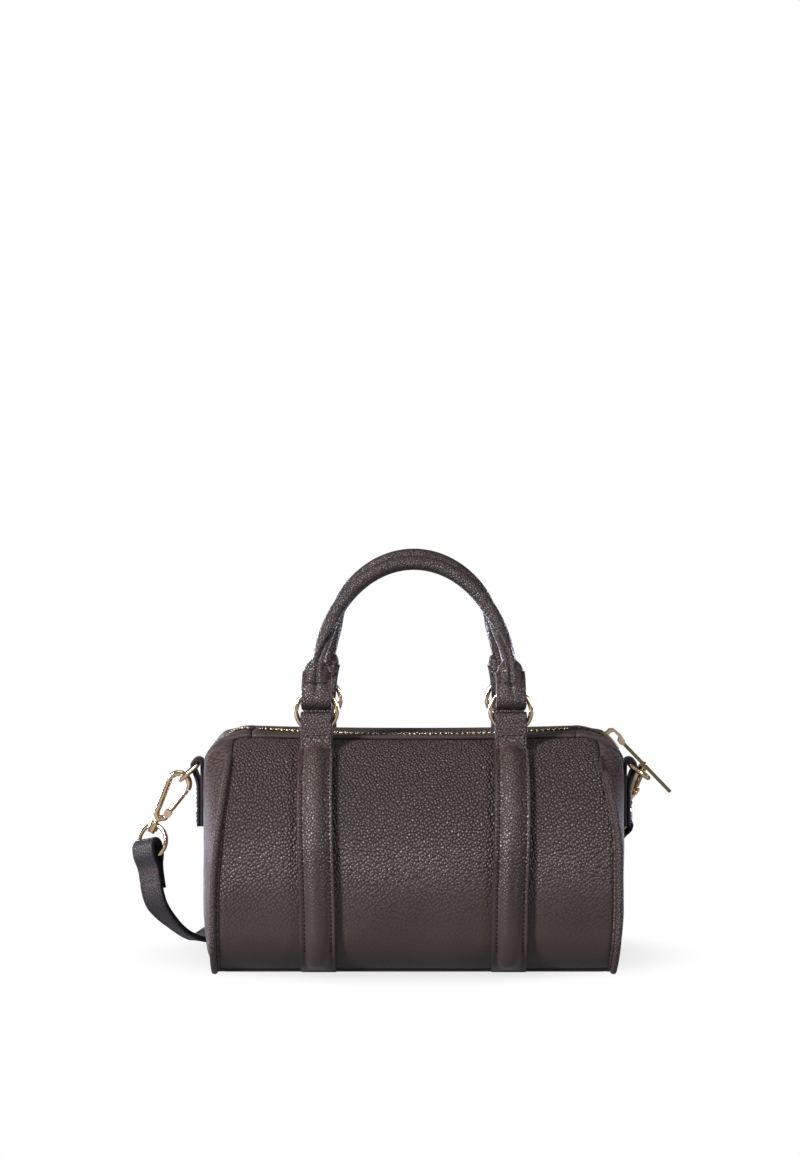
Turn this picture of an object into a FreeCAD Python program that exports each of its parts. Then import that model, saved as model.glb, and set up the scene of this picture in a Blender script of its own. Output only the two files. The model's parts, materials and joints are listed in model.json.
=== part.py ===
import FreeCAD, Part
import math
import os
from FreeCAD import Vector, Matrix, Placement

os.makedirs("parts", exist_ok=True)

# Frame: millimetres, origin on the floor under the middle of the bag, +X right, -Y front, +Z up
AX_X = Vector(1, 0, 0)
AX_Y = Vector(0, 1, 0)
AX_Z = Vector(0, 0, 1)

# Body of the barrel
BODY_LENGTH = 220.0
BODY_HEIGHT = 120.0
BODY_DEPTH = 120.0
BASE_CORNER = 24.0
TOP_CORNER = 24.0
END_DEPTH = 12.0
END_RIM = 2.0
LEATHER = 2.0
LINING_T = 0.9
LAYER_GAP = 0.3
BASE_SEAM_Z = 3.0
BOARD_T = 1.8
BOARD_MARGIN = 4.0
SHOULDER_R = BODY_DEPTH / 2
AXIS_Z = BODY_HEIGHT - SHOULDER_R
END_X = BODY_LENGTH / 2
SEAM_X = END_X - END_DEPTH
BULGE = END_DEPTH - END_RIM
BULGE_R = (SHOULDER_R**2 + BULGE**2) / (2 * BULGE)
CORNER_X = END_X - TOP_CORNER
CORNER_Z = BODY_HEIGHT - TOP_CORNER

# Piping round each end
PIPE_R = 1.7
PIPE_PROUD = 0.5
PIPE_TOP_Y = 21.0

# Zip: facings, tape, teeth
BAND_HALF = 16.0
FACING_T = 1.2
FACING_EDGE = 6.0
TAPE_EDGE = 1.2
TAPE_WIDTH = 13.0
LIP_SETBACK = 2.0
LIP_GAP = 0.35
ZIP_END_UP = 8.0
LIP_HALF_LENGTH = CORNER_X - LIP_SETBACK
ZIP_END_Z = CORNER_Z + ZIP_END_UP
TOOTH_PITCH = 2.8
TOOTH_T = 1.05
TOOTH_TIP = 0.3
TOOTH_GRIP = 1.4
TOOTH_UP = 1.3
TOOTH_DOWN = 0.8
TOOTH_SLACK = 0.06
LANE_HALF = 0.95

# Zip slider and pull
SLIDER_ANGLE = 47.0
SLIDER_SPAN = 25.0
SLIDER_PLATE = 1.2
SLIDER_AIR = 0.4
SLIDER_LIP = 0.5
SLIDER_HALF_W = TAPE_EDGE + LANE_HALF + TOOTH_GRIP + SLIDER_AIR + SLIDER_LIP
POST_HALF = 0.6
PIN_R = 0.8
PIN_FIT = 0.06
PIN_ALONG = 4.4
PIN_UP = 2.6
CROWN_HALF_W = 2.6
EYE_HALF_W = 1.2
SIDE_FIT = 0.15
CROWN_BACK = 5.0
CROWN_TOP = 4.8
CROWN_WALL = 1.7
CROWN_NOSE = 1.5
PULL_LENGTH = 37.0
PULL_W = 5.0
PULL_T = 1.8
PULL_DOWN = 46.0
PULL_NECK = 6.0
PULL_LAP = 1.8
PULL_EYE_WALL = 0.9

# Handle rings and chapes
RING_X = 50.0
RING_Y = 27.5
RING_BORE = 18.4
RING_WIRE = 2.5
RING_R = (RING_BORE + RING_WIRE) / 2
CHAPE_W = 18.2
LOOP_W = 16.4
CHAPE_T = 3.2
CHAPE_GAP = 0.05
RIB_W = 10.0
RIB_T = 1.8
RIB_END = 7.0
FOLD_T = 2.0
FOLD_FIT = 0.3
FOLD_MEET = 0.4
CHAPE_DROP = 3.0
CHAPE_TOP_Z = BODY_HEIGHT - CHAPE_DROP
CHAPE_SEAT = 0.35
LOOP_BASE = 2.1
RING_Z = CHAPE_TOP_Z + CHAPE_SEAT + LOOP_BASE + FOLD_FIT + RING_WIRE / 2 + RING_R

# Rolled handles
HANDLE_RISE = 67.0
HANDLE_ARCH_R = 45.0
HANDLE_ROLL = 8.2
CORE_D = 5.2
CORE_FIT = 0.2
HANDLE_FOLD_R = 3.2
HANDLE_TAB_T = 5.4
HANDLE_TAB_W = 15.8
HANDLE_TAB_TOP = 20.0
FRONT_LEAN = 16.0
REAR_LEAN = 4.0

# End tabs and D-rings
TAB_W = 11.4
TAB_LAYERS_T = 3.8
TAB_LENGTH = 32.2
TAB_SEAT = 0.15
TAB_DROP = 19.8
TAB_BAR_Z = BODY_HEIGHT - TAB_DROP
TAB_LOOP_T = 2.1
D_WIRE = 2.4
D_FIT = 0.35
D_SIDE = 0.35
D_ARM = 5.0
LEFT_D_DOWN = 42.0
RIGHT_D_DOWN = 36.0
RIVET_D = 5.0
RIVET_HEAD = 1.1
RIVET_UP = 7.0
D_HALF = TAB_W / 2 + D_SIDE + D_WIRE / 2
TAB_BAR_R = D_WIRE / 2 + D_FIT
TAB_LOOP_R = TAB_BAR_R + TAB_LOOP_T
TAB_BAR_X = END_X + TAB_SEAT + TAB_LOOP_R

# Snap hooks: pear loop, gate, swivel stem
HOOK_WIRE = 3.2
PEAR_R = 5.5
PEAR_X = 1.9
PEAR_Z = 23.8
PEAR_FOOT = (-1.9, 4.8)
HOOK_BASE = (0.4, 2.4)
KNUCKLE = (3.2, 4.4)
GATE_PIN = (3.72, 7.2)
GATE_WIRE = 2.8
GATE_GAP = 0.45
GATE_PIN_R = 0.6
GATE_PIN_FIT = 0.05
CLEVIS_R = 2.1
CLEVIS_W = 4.2
TONGUE_W = 1.5
TONGUE_FIT = 0.15
NOSE_DROP = 5.0
STEM_R = 1.1
STEM_FIT = 0.08
BOSS_R = 2.6
BOSS_TOP = -0.1
BOSS_END = -4.1
STEM_HEAD = 1.3
STEM_HEAD_R = 1.9
HEAD_GAP = 0.3
HANG_GAP = 0.35
EYE_R = 8.1
EYE_WIRE = 2.3
EYE_AT = -1.6

# Shoulder strap
STRAP_W = 13.0
STRAP_T = 2.6
STRAP_LOOP_R = 2.0
STRAP_CREST = 2.6
STRAP_SLOT = 10.6
STRAP_DOUBLE = 24.0
HANK_HALF = 76.0
HANK_Y = 81.0
HANK_LAYERS = 5
HANK_STEP = 5.8
TIE_T = 0.6
TIE_W = 9.0
TIE_FIT = 0.1
HANK_Z = TIE_T + TIE_FIT + STRAP_T / 2

NODES = {}


# Small building helpers
def block(x0, x1, y0, y1, z0, z1):
    return Part.makeBox(x1 - x0, y1 - y0, z1 - z0, Vector(x0, y0, z0))


def rod(start, end, radius):
    along = end - start
    return Part.makeCylinder(radius, along.Length, start, along)


def ball(centre, radius):
    return Part.makeSphere(radius, centre)


def bend(start, heading, centre, axis, angle, radius):
    disc = Part.Face(Part.Wire(Part.makeCircle(radius, start, heading)))
    return disc.revolve(centre, axis, angle)


def prism(points, sweep):
    face = Part.Face(Part.makePolygon(list(points) + [points[0]]))
    return face.extrude(sweep)


def outline_face(edges):
    return Part.Face(Part.Wire(edges))


def line(a, b):
    return Part.makeLine(a, b)


def arc(a, via, b):
    return Part.Arc(a, via, b).toShape()


def fuse(shapes):
    solid = shapes[0]
    for other in shapes[1:]:
        solid = solid.fuse(other)
    return solid.removeSplitter()


def group(shapes):
    return Part.makeCompound(shapes)


def mirror_x(shape):
    return shape.mirror(Vector(0, 0, 0), AX_X)


def mirror_y(shape):
    return shape.mirror(Vector(0, 0, 0), AX_Y)


def turned(shape, centre, axis, angle):
    copy = shape.copy()
    copy.rotate(centre, axis, angle)
    return copy


def moved(shape, offset):
    copy = shape.copy()
    copy.translate(offset)
    return copy


def in_frame(shape, origin, x_dir, y_dir, z_dir):
    matrix = Matrix(
        x_dir.x, y_dir.x, z_dir.x, origin.x,
        x_dir.y, y_dir.y, z_dir.y, origin.y,
        x_dir.z, y_dir.z, z_dir.z, origin.z,
        0, 0, 0, 1,
    )
    copy = shape.copy()
    copy.Placement = Placement(matrix).multiply(copy.Placement)
    return copy


def unit(vector):
    return vector / vector.Length


# Barrel form: section across the bag, outline along it and bulged ends, all set in by one inset
def section_face(inset, x):
    radius = SHOULDER_R - inset
    corner = BASE_CORNER - inset
    foot = SHOULDER_R - BASE_CORNER
    slant = corner * math.sqrt(0.5)

    def at(y, z):
        return Vector(x, y, z)

    return outline_face([
        line(at(-foot, inset), at(foot, inset)),
        arc(at(foot, inset), at(foot + slant, BASE_CORNER - slant), at(radius, BASE_CORNER)),
        line(at(radius, BASE_CORNER), at(radius, AXIS_Z)),
        arc(at(radius, AXIS_Z), at(0, AXIS_Z + radius), at(-radius, AXIS_Z)),
        line(at(-radius, AXIS_Z), at(-radius, BASE_CORNER)),
        arc(at(-radius, BASE_CORNER), at(-foot - slant, BASE_CORNER - slant), at(-foot, inset)),
    ])


def side_face(inset, y):
    end = END_X - inset
    top = BODY_HEIGHT - inset
    slant = (TOP_CORNER - inset) * math.sqrt(0.5)
    low = -BASE_CORNER

    def at(x, z):
        return Vector(x, y, z)

    return outline_face([
        line(at(-end, low), at(end, low)),
        line(at(end, low), at(end, CORNER_Z)),
        arc(at(end, CORNER_Z), at(CORNER_X + slant, CORNER_Z + slant), at(CORNER_X, top)),
        line(at(CORNER_X, top), at(-CORNER_X, top)),
        arc(at(-CORNER_X, top), at(-CORNER_X - slant, CORNER_Z + slant), at(-end, CORNER_Z)),
        line(at(-end, CORNER_Z), at(-end, low)),
    ])


def barrel(inset):
    length = section_face(inset, -BODY_LENGTH).extrude(Vector(2 * BODY_LENGTH, 0, 0))
    outline = side_face(inset, -BODY_DEPTH).extrude(Vector(0, 2 * BODY_DEPTH, 0))
    form = length.common(outline)
    for side in (-1, 1):
        centre = Vector(side * (END_X - BULGE_R), 0, -BODY_HEIGHT)
        form = form.common(Part.makeCylinder(BULGE_R - inset, 3 * BODY_HEIGHT, centre))
    return form


def layer(outer, inner):
    return barrel(outer).cut(barrel(inner))


def shoulder_z(y, inset):
    return AXIS_Z + math.sqrt((SHOULDER_R - inset)**2 - y**2)


FAR = BODY_LENGTH
SHELL = layer(0, LEATHER)
BAND = block(-FAR, FAR, -BAND_HALF, BAND_HALF, ZIP_END_Z, FAR)
MIDDLE = block(-SEAM_X, SEAM_X, -FAR, FAR, -FAR, FAR)


# Piping: one run at the front and one at the back of each end seam
def end_piping(x):
    reach = SHOULDER_R + PIPE_PROUD
    corner = BASE_CORNER + PIPE_PROUD
    foot = SHOULDER_R - BASE_CORNER
    top_angle = math.degrees(math.acos(PIPE_TOP_Y / reach))
    base_angle = 90 - math.degrees(math.acos((BASE_CORNER - BASE_SEAM_Z) / corner))
    upper = bend(Vector(x, -reach, AXIS_Z), AX_Z, Vector(x, 0, AXIS_Z), AX_X, -top_angle, PIPE_R)
    side = rod(Vector(x, -reach, BASE_CORNER), Vector(x, -reach, AXIS_Z), PIPE_R)
    corner_c = Vector(x, -foot, BASE_CORNER)
    lower = bend(Vector(x, -reach, BASE_CORNER), AX_Z, corner_c, AX_X, base_angle, PIPE_R)
    run = fuse([side, upper, lower])
    return group([run, mirror_y(run)])


RIGHT_PIPING = end_piping(SEAM_X)
LEFT_PIPING = mirror_x(RIGHT_PIPING)
NODES["left_end_piping"] = LEFT_PIPING
NODES["right_end_piping"] = RIGHT_PIPING

# Leather panels cut from the shell along the seams, grooved for the piping
FRONT_SIDE = block(-SEAM_X, SEAM_X, -FAR, -BAND_HALF, BASE_SEAM_Z, FAR)
front_panel = SHELL.common(FRONT_SIDE).cut(RIGHT_PIPING).cut(LEFT_PIPING)
NODES["front_panel"] = front_panel
NODES["rear_panel"] = mirror_y(front_panel)
NODES["base_panel"] = SHELL.common(MIDDLE).common(block(-FAR, FAR, -FAR, FAR, -FAR, BASE_SEAM_Z))
right_end = SHELL.common(block(SEAM_X, FAR, -FAR, FAR, -FAR, FAR)).cut(BAND).cut(RIGHT_PIPING)
NODES["right_end_panel"] = right_end
NODES["left_end_panel"] = mirror_x(right_end)

# Lining and base board inside
LINING_OUT = LEATHER + LAYER_GAP
LINING_IN = LINING_OUT + LINING_T
mouth = block(-FAR, FAR, -BAND_HALF - LINING_T, BAND_HALF + LINING_T, CORNER_Z, FAR)
NODES["lining"] = layer(LINING_OUT, LINING_IN).cut(mouth)
board_x = SEAM_X - BOARD_MARGIN
board_y = SHOULDER_R - BASE_CORNER
NODES["base_board"] = block(-board_x, board_x, -board_y, board_y, LINING_IN, LINING_IN + BOARD_T)

# Zip facings and tapes: moving lips over the straight top, fixed stretches over the corners
FACING = layer(0, FACING_T)
TAPE = layer(FACING_T, LEATHER)


def strip(form, y_near, y_far, x0, x1):
    return form.common(block(x0, x1, -y_far, -y_near, ZIP_END_Z, FAR))


front_facing = strip(FACING, FACING_EDGE, BAND_HALF - LIP_GAP, -LIP_HALF_LENGTH, LIP_HALF_LENGTH)
front_tape = strip(TAPE, TAPE_EDGE, TAPE_EDGE + TAPE_WIDTH, -LIP_HALF_LENGTH, LIP_HALF_LENGTH)
NODES["front_lip_facing"] = front_facing
NODES["rear_lip_facing"] = mirror_y(front_facing)
NODES["front_lip_tape"] = front_tape
NODES["rear_lip_tape"] = mirror_y(front_tape)
CORNER_START = LIP_HALF_LENGTH + LIP_GAP
corner_facing = strip(FACING, FACING_EDGE, BAND_HALF - LIP_GAP, CORNER_START, FAR)
corner_tape = strip(TAPE, TAPE_EDGE + LANE_HALF, TAPE_EDGE + TAPE_WIDTH, CORNER_START, FAR)
NODES["right_corner_facings"] = group([corner_facing, mirror_y(corner_facing)])
NODES["left_corner_facings"] = mirror_x(NODES["right_corner_facings"])
NODES["right_corner_tapes"] = group([corner_tape, mirror_y(corner_tape)])
NODES["left_corner_tapes"] = mirror_x(NODES["right_corner_tapes"])

# Zip teeth: clamps on the tape edge, the two rows half a pitch apart
TAPE_TOP = BODY_HEIGHT - FACING_T
TAPE_LOW = BODY_HEIGHT - LEATHER


def tooth(x, tip, tape_edge):
    root = tape_edge + TOOTH_GRIP
    sag = root**2 / (2 * SHOULDER_R)
    body = block(x - TOOTH_T / 2, x + TOOTH_T / 2, -root, tip, TAPE_LOW - TOOTH_DOWN, TAPE_TOP + TOOTH_UP)
    notch_top = TAPE_TOP + TOOTH_SLACK
    notch_low = TAPE_LOW - sag - TOOTH_SLACK
    notch = block(x - TOOTH_T, x + TOOTH_T, -FAR, -tape_edge + TOOTH_SLACK, notch_low, notch_top)
    return body.cut(notch)


def straight_row(offset):
    count = int((2 * LIP_HALF_LENGTH - 2 * TOOTH_T) / TOOTH_PITCH)
    first = -(count - 1) * TOOTH_PITCH / 2 + offset
    places = [first + index * TOOTH_PITCH for index in range(count)]
    limit = LIP_HALF_LENGTH - TOOTH_T
    return group([tooth(x, TOOTH_TIP, TAPE_EDGE) for x in places if abs(x) < limit])


def corner_row(offset):
    turn = math.degrees(TOOTH_PITCH / (TOOTH_T / 2 + TOP_CORNER - LEATHER))
    last = math.degrees(math.acos((ZIP_END_Z - CORNER_Z) / (TOP_CORNER - LEATHER))) - 2 * turn
    centre = Vector(CORNER_X, 0, CORNER_Z)
    edge = TAPE_EDGE + LANE_HALF
    teeth = []
    angle = turn / 2 + offset * turn
    while angle < last:
        teeth.append(turned(tooth(CORNER_X, -LANE_HALF, edge), centre, AX_Y, angle))
        angle += turn
    return teeth


NODES["front_lip_teeth"] = straight_row(-TOOTH_PITCH / 4)
NODES["rear_lip_teeth"] = mirror_y(straight_row(TOOTH_PITCH / 4))
corner_teeth = corner_row(0) + [mirror_y(one) for one in corner_row(0.5)]
NODES["right_corner_teeth"] = group(corner_teeth)
NODES["left_corner_teeth"] = mirror_x(NODES["right_corner_teeth"])

# Zip slider on the right corner, its parts turning about the corner's centre
CORNER_C = Vector(CORNER_X, 0, CORNER_Z)


def sector(r0, r1, y0, y1, start, span):
    at = math.radians(start)
    out = Vector(math.sin(at), 0, math.cos(at))
    corners = [(r0, y0), (r1, y0), (r1, y1), (r0, y1)]
    points = [CORNER_C + out * radius + AX_Y * y for radius, y in corners]
    face = Part.Face(Part.makePolygon(points + [points[0]]))
    return face.revolve(CORNER_C, AX_Y, span)


teeth_out = TAPE_TOP + TOOTH_UP - CORNER_Z
teeth_in = TAPE_LOW - TOOTH_DOWN - CORNER_Z
plate_low = math.hypot(teeth_out, TOOTH_T / 2) + SLIDER_AIR
plate_top = plate_low + SLIDER_PLATE
under_top = teeth_in - SLIDER_AIR
under_low = under_top - SLIDER_PLATE
slider_start = SLIDER_ANGLE - SLIDER_SPAN / 2
lip_y = SLIDER_HALF_W - SLIDER_LIP
tape_out = TAPE_TOP - CORNER_Z
tape_in = TAPE_LOW - CORNER_Z
slider_parts = [
    sector(plate_low, plate_top, -SLIDER_HALF_W, SLIDER_HALF_W, slider_start, SLIDER_SPAN),
    sector(under_low, under_top, -SLIDER_HALF_W, SLIDER_HALF_W, slider_start, SLIDER_SPAN),
    sector(under_low, plate_top, -POST_HALF, POST_HALF, SLIDER_ANGLE + SLIDER_SPAN / 4, SLIDER_SPAN / 6),
]
for y0 in (-SLIDER_HALF_W, lip_y):
    y1 = y0 + SLIDER_LIP
    slider_parts.append(sector(tape_out + SLIDER_AIR, plate_top, y0, y1, slider_start, SLIDER_SPAN))
    slider_parts.append(sector(under_low, tape_in - SLIDER_AIR, y0, y1, slider_start, SLIDER_SPAN))
slide_at = math.radians(SLIDER_ANGLE)
OUT = Vector(math.sin(slide_at), 0, math.cos(slide_at))
ALONG = Vector(math.cos(slide_at), 0, -math.sin(slide_at))


def on_slider(along, up, y):
    return CORNER_C + ALONG * along + OUT * (plate_top + up) + AX_Y * y


crown_in = CROWN_BACK - CROWN_WALL
crown_sunk = SLIDER_PLATE / 2
crown_low = CROWN_TOP - 2 * CROWN_WALL
nose_half = CROWN_NOSE / 2
crown_outline = [
    (-CROWN_BACK, -crown_sunk), (-CROWN_BACK, CROWN_TOP - CROWN_NOSE - CROWN_WALL / 2),
    (-crown_in, CROWN_TOP - CROWN_WALL / 3), (CROWN_NOSE, CROWN_TOP),
    (PIN_ALONG + nose_half, PIN_UP + CROWN_NOSE), (PIN_ALONG + CROWN_WALL, PIN_UP),
    (PIN_ALONG + nose_half, PIN_UP - CROWN_NOSE), (PIN_ALONG - CROWN_NOSE, PIN_UP - CROWN_NOSE),
    (CROWN_NOSE, CROWN_TOP - CROWN_WALL), (-crown_in + nose_half, CROWN_TOP - CROWN_WALL),
    (-crown_in, crown_low), (-crown_in, -crown_sunk),
]
crown = prism([on_slider(a, u, -CROWN_HALF_W) for a, u in crown_outline], AX_Y * (2 * CROWN_HALF_W))
eye_room = EYE_HALF_W + SIDE_FIT
slot_at = PIN_ALONG - CROWN_NOSE - nose_half - SIDE_FIT
slot = prism(
    [on_slider(a, u, -eye_room) for a, u in [(slot_at, -FAR), (FAR, -FAR), (FAR, FAR), (slot_at, FAR)]],
    AX_Y * (2 * eye_room),
)
pin_end = CROWN_HALF_W
pin = rod(on_slider(PIN_ALONG, PIN_UP, -pin_end), on_slider(PIN_ALONG, PIN_UP, pin_end), PIN_R)
NODES["zip_slider"] = fuse(slider_parts + [crown.cut(slot), pin])
PULL_PIVOT = on_slider(PIN_ALONG, PIN_UP, 0)

# Zip pull: tongue on the pin, flat bar down to a rounded end
pull_end = PULL_LENGTH - PULL_W / 2
tongue = block(0, PULL_NECK, -EYE_HALF_W, EYE_HALF_W, -PULL_T / 2, PULL_T / 2)
tongue = tongue.fuse(rod(Vector(0, -EYE_HALF_W, 0), Vector(0, EYE_HALF_W, 0), PIN_R + PULL_EYE_WALL))
bar = block(PULL_NECK - PULL_LAP, pull_end, -PULL_W / 2, PULL_W / 2, -PULL_T / 2, PULL_T / 2)
tip = rod(Vector(pull_end, 0, -PULL_T / 2), Vector(pull_end, 0, PULL_T / 2), PULL_W / 2)
eye_hole = rod(Vector(0, -FAR, 0), Vector(0, FAR, 0), PIN_R + PIN_FIT)
pull = fuse([tongue, bar, tip]).cut(eye_hole)
pull = turned(pull, Vector(0, 0, 0), AX_Y, PULL_DOWN)
NODES["zip_pull"] = moved(pull, PULL_PIVOT)

# Zip end stops: small blocks across the tapes beyond the last teeth
STOP_SPAN = 4.0
stop_start = SLIDER_ANGLE + SLIDER_SPAN / 2 + 1.5
stop = sector(tape_out + TOOTH_SLACK, plate_low, -BAND_HALF / 4, BAND_HALF / 4, stop_start, STOP_SPAN)
NODES["zip_end_stops"] = group([stop, mirror_x(stop)])

# Chapes: straps down the panels with a padded rib, folded loops above on their own hinge line
chape_left = RING_X - CHAPE_W / 2
chape_right = RING_X + CHAPE_W / 2
strap_zone = block(chape_left, chape_right, -FAR, -BAND_HALF, BASE_SEAM_Z, CHAPE_TOP_Z)
rib_zone = block(
    RING_X - RIB_W / 2, RING_X + RIB_W / 2, -FAR, -BAND_HALF, BASE_SEAM_Z + RIB_END, CHAPE_TOP_Z - RIB_END
)
chape = fuse([
    layer(-CHAPE_T, -CHAPE_GAP).common(strap_zone),
    layer(-CHAPE_T - RIB_T, -CHAPE_T / 2).common(rib_zone),
])
NODES["front_right_chape"] = chape
NODES["front_left_chape"] = mirror_x(chape)
NODES["rear_right_chape"] = mirror_y(chape)
NODES["rear_left_chape"] = mirror_x(mirror_y(chape))


CHAPE_FOLD_R = RING_WIRE / 2 + FOLD_FIT
loop_low = CHAPE_TOP_Z + CHAPE_SEAT
loop_fold_z = RING_Z - FOLD_MEET - FOLD_T - CHAPE_FOLD_R
loop_outer = CHAPE_FOLD_R + FOLD_T


def at_loop(y, z):
    return Vector(RING_X - LOOP_W / 2, y - RING_Y, z)


loop_face = outline_face([
    line(at_loop(-loop_outer, loop_low), at_loop(loop_outer, loop_low)),
    line(at_loop(loop_outer, loop_low), at_loop(loop_outer, loop_fold_z)),
    arc(
        at_loop(loop_outer, loop_fold_z),
        at_loop(0, loop_fold_z + loop_outer),
        at_loop(-loop_outer, loop_fold_z),
    ),
    line(at_loop(-loop_outer, loop_fold_z), at_loop(-loop_outer, loop_low)),
])
slot_low = loop_low + LOOP_BASE
loop_slot = outline_face([
    line(at_loop(-CHAPE_FOLD_R, slot_low), at_loop(CHAPE_FOLD_R, slot_low)),
    line(at_loop(CHAPE_FOLD_R, slot_low), at_loop(CHAPE_FOLD_R, loop_fold_z)),
    arc(
        at_loop(CHAPE_FOLD_R, loop_fold_z),
        at_loop(0, loop_fold_z + CHAPE_FOLD_R),
        at_loop(-CHAPE_FOLD_R, loop_fold_z),
    ),
    line(at_loop(-CHAPE_FOLD_R, loop_fold_z), at_loop(-CHAPE_FOLD_R, slot_low)),
])
chape_loop = loop_face.cut(loop_slot).extrude(AX_X * LOOP_W)
NODES["front_right_chape_loop"] = chape_loop
NODES["front_left_chape_loop"] = mirror_x(chape_loop)
NODES["rear_right_chape_loop"] = mirror_y(chape_loop)
NODES["rear_left_chape_loop"] = mirror_x(mirror_y(chape_loop))

ring = Part.makeTorus(RING_R, RING_WIRE / 2, Vector(RING_X, -RING_Y, RING_Z), AX_Y)
NODES["front_right_ring"] = ring
NODES["front_left_ring"] = mirror_x(ring)
NODES["rear_right_ring"] = mirror_y(ring)
NODES["rear_left_ring"] = mirror_x(mirror_y(ring))

# Rolled handle about its ring pivot: folded end tabs, hollow roll, core inside
def handle_tab_side(x):
    fold_r = HANDLE_FOLD_R + FOLD_T
    fold_z = fold_r - RING_R + FOLD_MEET
    slot_half = RING_WIRE / 2 + 2 * FOLD_FIT
    half_t = HANDLE_TAB_T / 2

    def at(y, z):
        return Vector(x, y, z)

    outer = outline_face([
        line(at(-half_t, HANDLE_TAB_TOP), at(half_t, HANDLE_TAB_TOP)),
        line(at(half_t, HANDLE_TAB_TOP), at(fold_r, fold_z)),
        arc(at(fold_r, fold_z), at(0, fold_z - fold_r), at(-fold_r, fold_z)),
        line(at(-fold_r, fold_z), at(-half_t, HANDLE_TAB_TOP)),
    ])
    slot = outline_face([
        line(at(-slot_half, slot_half), at(slot_half, slot_half)),
        line(at(slot_half, slot_half), at(HANDLE_FOLD_R, fold_z)),
        arc(at(HANDLE_FOLD_R, fold_z), at(0, fold_z - HANDLE_FOLD_R), at(-HANDLE_FOLD_R, fold_z)),
        line(at(-HANDLE_FOLD_R, fold_z), at(-slot_half, slot_half)),
    ])
    return outer.cut(slot)


def handle_tab_front():
    half = HANDLE_TAB_W / 2
    shoulder_low = HANDLE_TAB_TOP - half

    def at(x, z):
        return Vector(RING_X + x, -FAR, z)

    return outline_face([
        line(at(-half, -FAR), at(half, -FAR)),
        line(at(half, -FAR), at(half, shoulder_low)),
        arc(at(half, shoulder_low), at(0, HANDLE_TAB_TOP), at(-half, shoulder_low)),
        line(at(-half, shoulder_low), at(-half, -FAR)),
    ]).extrude(AX_Y * (2 * FAR))


tab_sweep = handle_tab_side(RING_X - HANDLE_TAB_W / 2).extrude(AX_X * HANDLE_TAB_W)
handle_tab = tab_sweep.common(handle_tab_front())
arch_z = HANDLE_RISE - HANDLE_ARCH_R
leg_foot = RING_WIRE / 2 + 2 * FOLD_FIT + FOLD_T
leg_drop = arch_z - leg_foot
splay = math.acos(HANDLE_ARCH_R / math.hypot(RING_X, leg_drop)) - math.atan2(leg_drop, RING_X)
leg_way = Vector(-math.sin(splay), 0, math.cos(splay))


def arch(diameter, cut_back):
    foot = Vector(RING_X, 0, leg_foot) + leg_way * cut_back
    start = Vector(math.cos(splay), 0, math.sin(splay)) * HANDLE_ARCH_R + AX_Z * arch_z
    leg = rod(foot, start, diameter / 2)
    top = bend(start, leg_way, AX_Z * arch_z, AX_Y, -180 + 2 * math.degrees(splay), diameter / 2)
    return fuse([top, leg, mirror_x(leg)])


bore = arch(CORE_D + 2 * CORE_FIT, FOLD_T)
handle_cover = fuse([arch(HANDLE_ROLL, 0), handle_tab, mirror_x(handle_tab)]).cut(bore)
handle_core = arch(CORE_D, FOLD_T + CORE_FIT)
PIVOT_Z = RING_Z + RING_R


def stand_handle(shape, lean):
    leaned = turned(shape, Vector(0, 0, 0), AX_X, -lean)
    return moved(leaned, Vector(0, -RING_Y, PIVOT_Z))


NODES["front_handle"] = stand_handle(handle_cover, FRONT_LEAN)
NODES["front_handle_core"] = stand_handle(handle_core, FRONT_LEAN)
NODES["rear_handle"] = mirror_y(stand_handle(handle_cover, REAR_LEAN))
NODES["rear_handle_core"] = mirror_y(stand_handle(handle_core, REAR_LEAN))

# End tabs with their rivets
tab_low = TAB_BAR_Z - TAB_LENGTH
tab_face_x = END_X + TAB_SEAT + TAB_LAYERS_T
tab_flat = block(END_X + TAB_SEAT, tab_face_x, -TAB_W / 2, TAB_W / 2, tab_low, TAB_BAR_Z)
bar_at = Vector(TAB_BAR_X, -TAB_W / 2, TAB_BAR_Z)
tab_loop = rod(bar_at, bar_at + AX_Y * TAB_W, TAB_LOOP_R)
bar_hole = rod(bar_at - AX_Y * TAB_W, bar_at + AX_Y * (2 * TAB_W), TAB_BAR_R)
rivet_z = tab_low + RIVET_UP
rivet_in = Vector(END_X + TAB_SEAT, 0, rivet_z)
rivet_out = Vector(tab_face_x, 0, rivet_z)
rivet_hole = rod(rivet_in - AX_X, rivet_out + AX_X, RIVET_D / 4)
right_tab = fuse([tab_flat, tab_loop]).cut(bar_hole).cut(rivet_hole)
NODES["right_tab"] = right_tab
NODES["left_tab"] = mirror_x(right_tab)
rivet_dome = RIVET_D**2 / (8 * RIVET_HEAD) + RIVET_HEAD / 2
dome = ball(rivet_out + AX_X * (RIVET_HEAD - rivet_dome), rivet_dome)
dome = dome.common(block(rivet_out.x, FAR, -RIVET_D, RIVET_D, rivet_z - RIVET_D, rivet_z + RIVET_D))
rivet = fuse([dome, rod(rivet_in, rivet_out + AX_X * (RIVET_HEAD / 2), RIVET_D / 4)])
NODES["tab_rivets"] = group([rivet, mirror_x(rivet)])


# D-rings hung in the tabs, each leaning down by its own angle
def d_ring(bar_centre, outward):
    radius = D_WIRE / 2
    top = AX_Y * D_HALF
    low = AX_Y * -D_HALF
    arm = outward * D_ARM
    axis = outward.cross(AX_Y)
    bow = bend(bar_centre + arm + low, outward, bar_centre + arm, axis, 180, radius)
    return fuse([
        bow,
        rod(bar_centre + low, bar_centre + low + arm, radius),
        rod(bar_centre + top, bar_centre + top + arm, radius),
        rod(bar_centre + low, bar_centre + top, radius),
        ball(bar_centre + low, radius),
        ball(bar_centre + top, radius),
    ])


def outward(side, down):
    return Vector(side * math.cos(math.radians(down)), 0, -math.sin(math.radians(down)))


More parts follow.
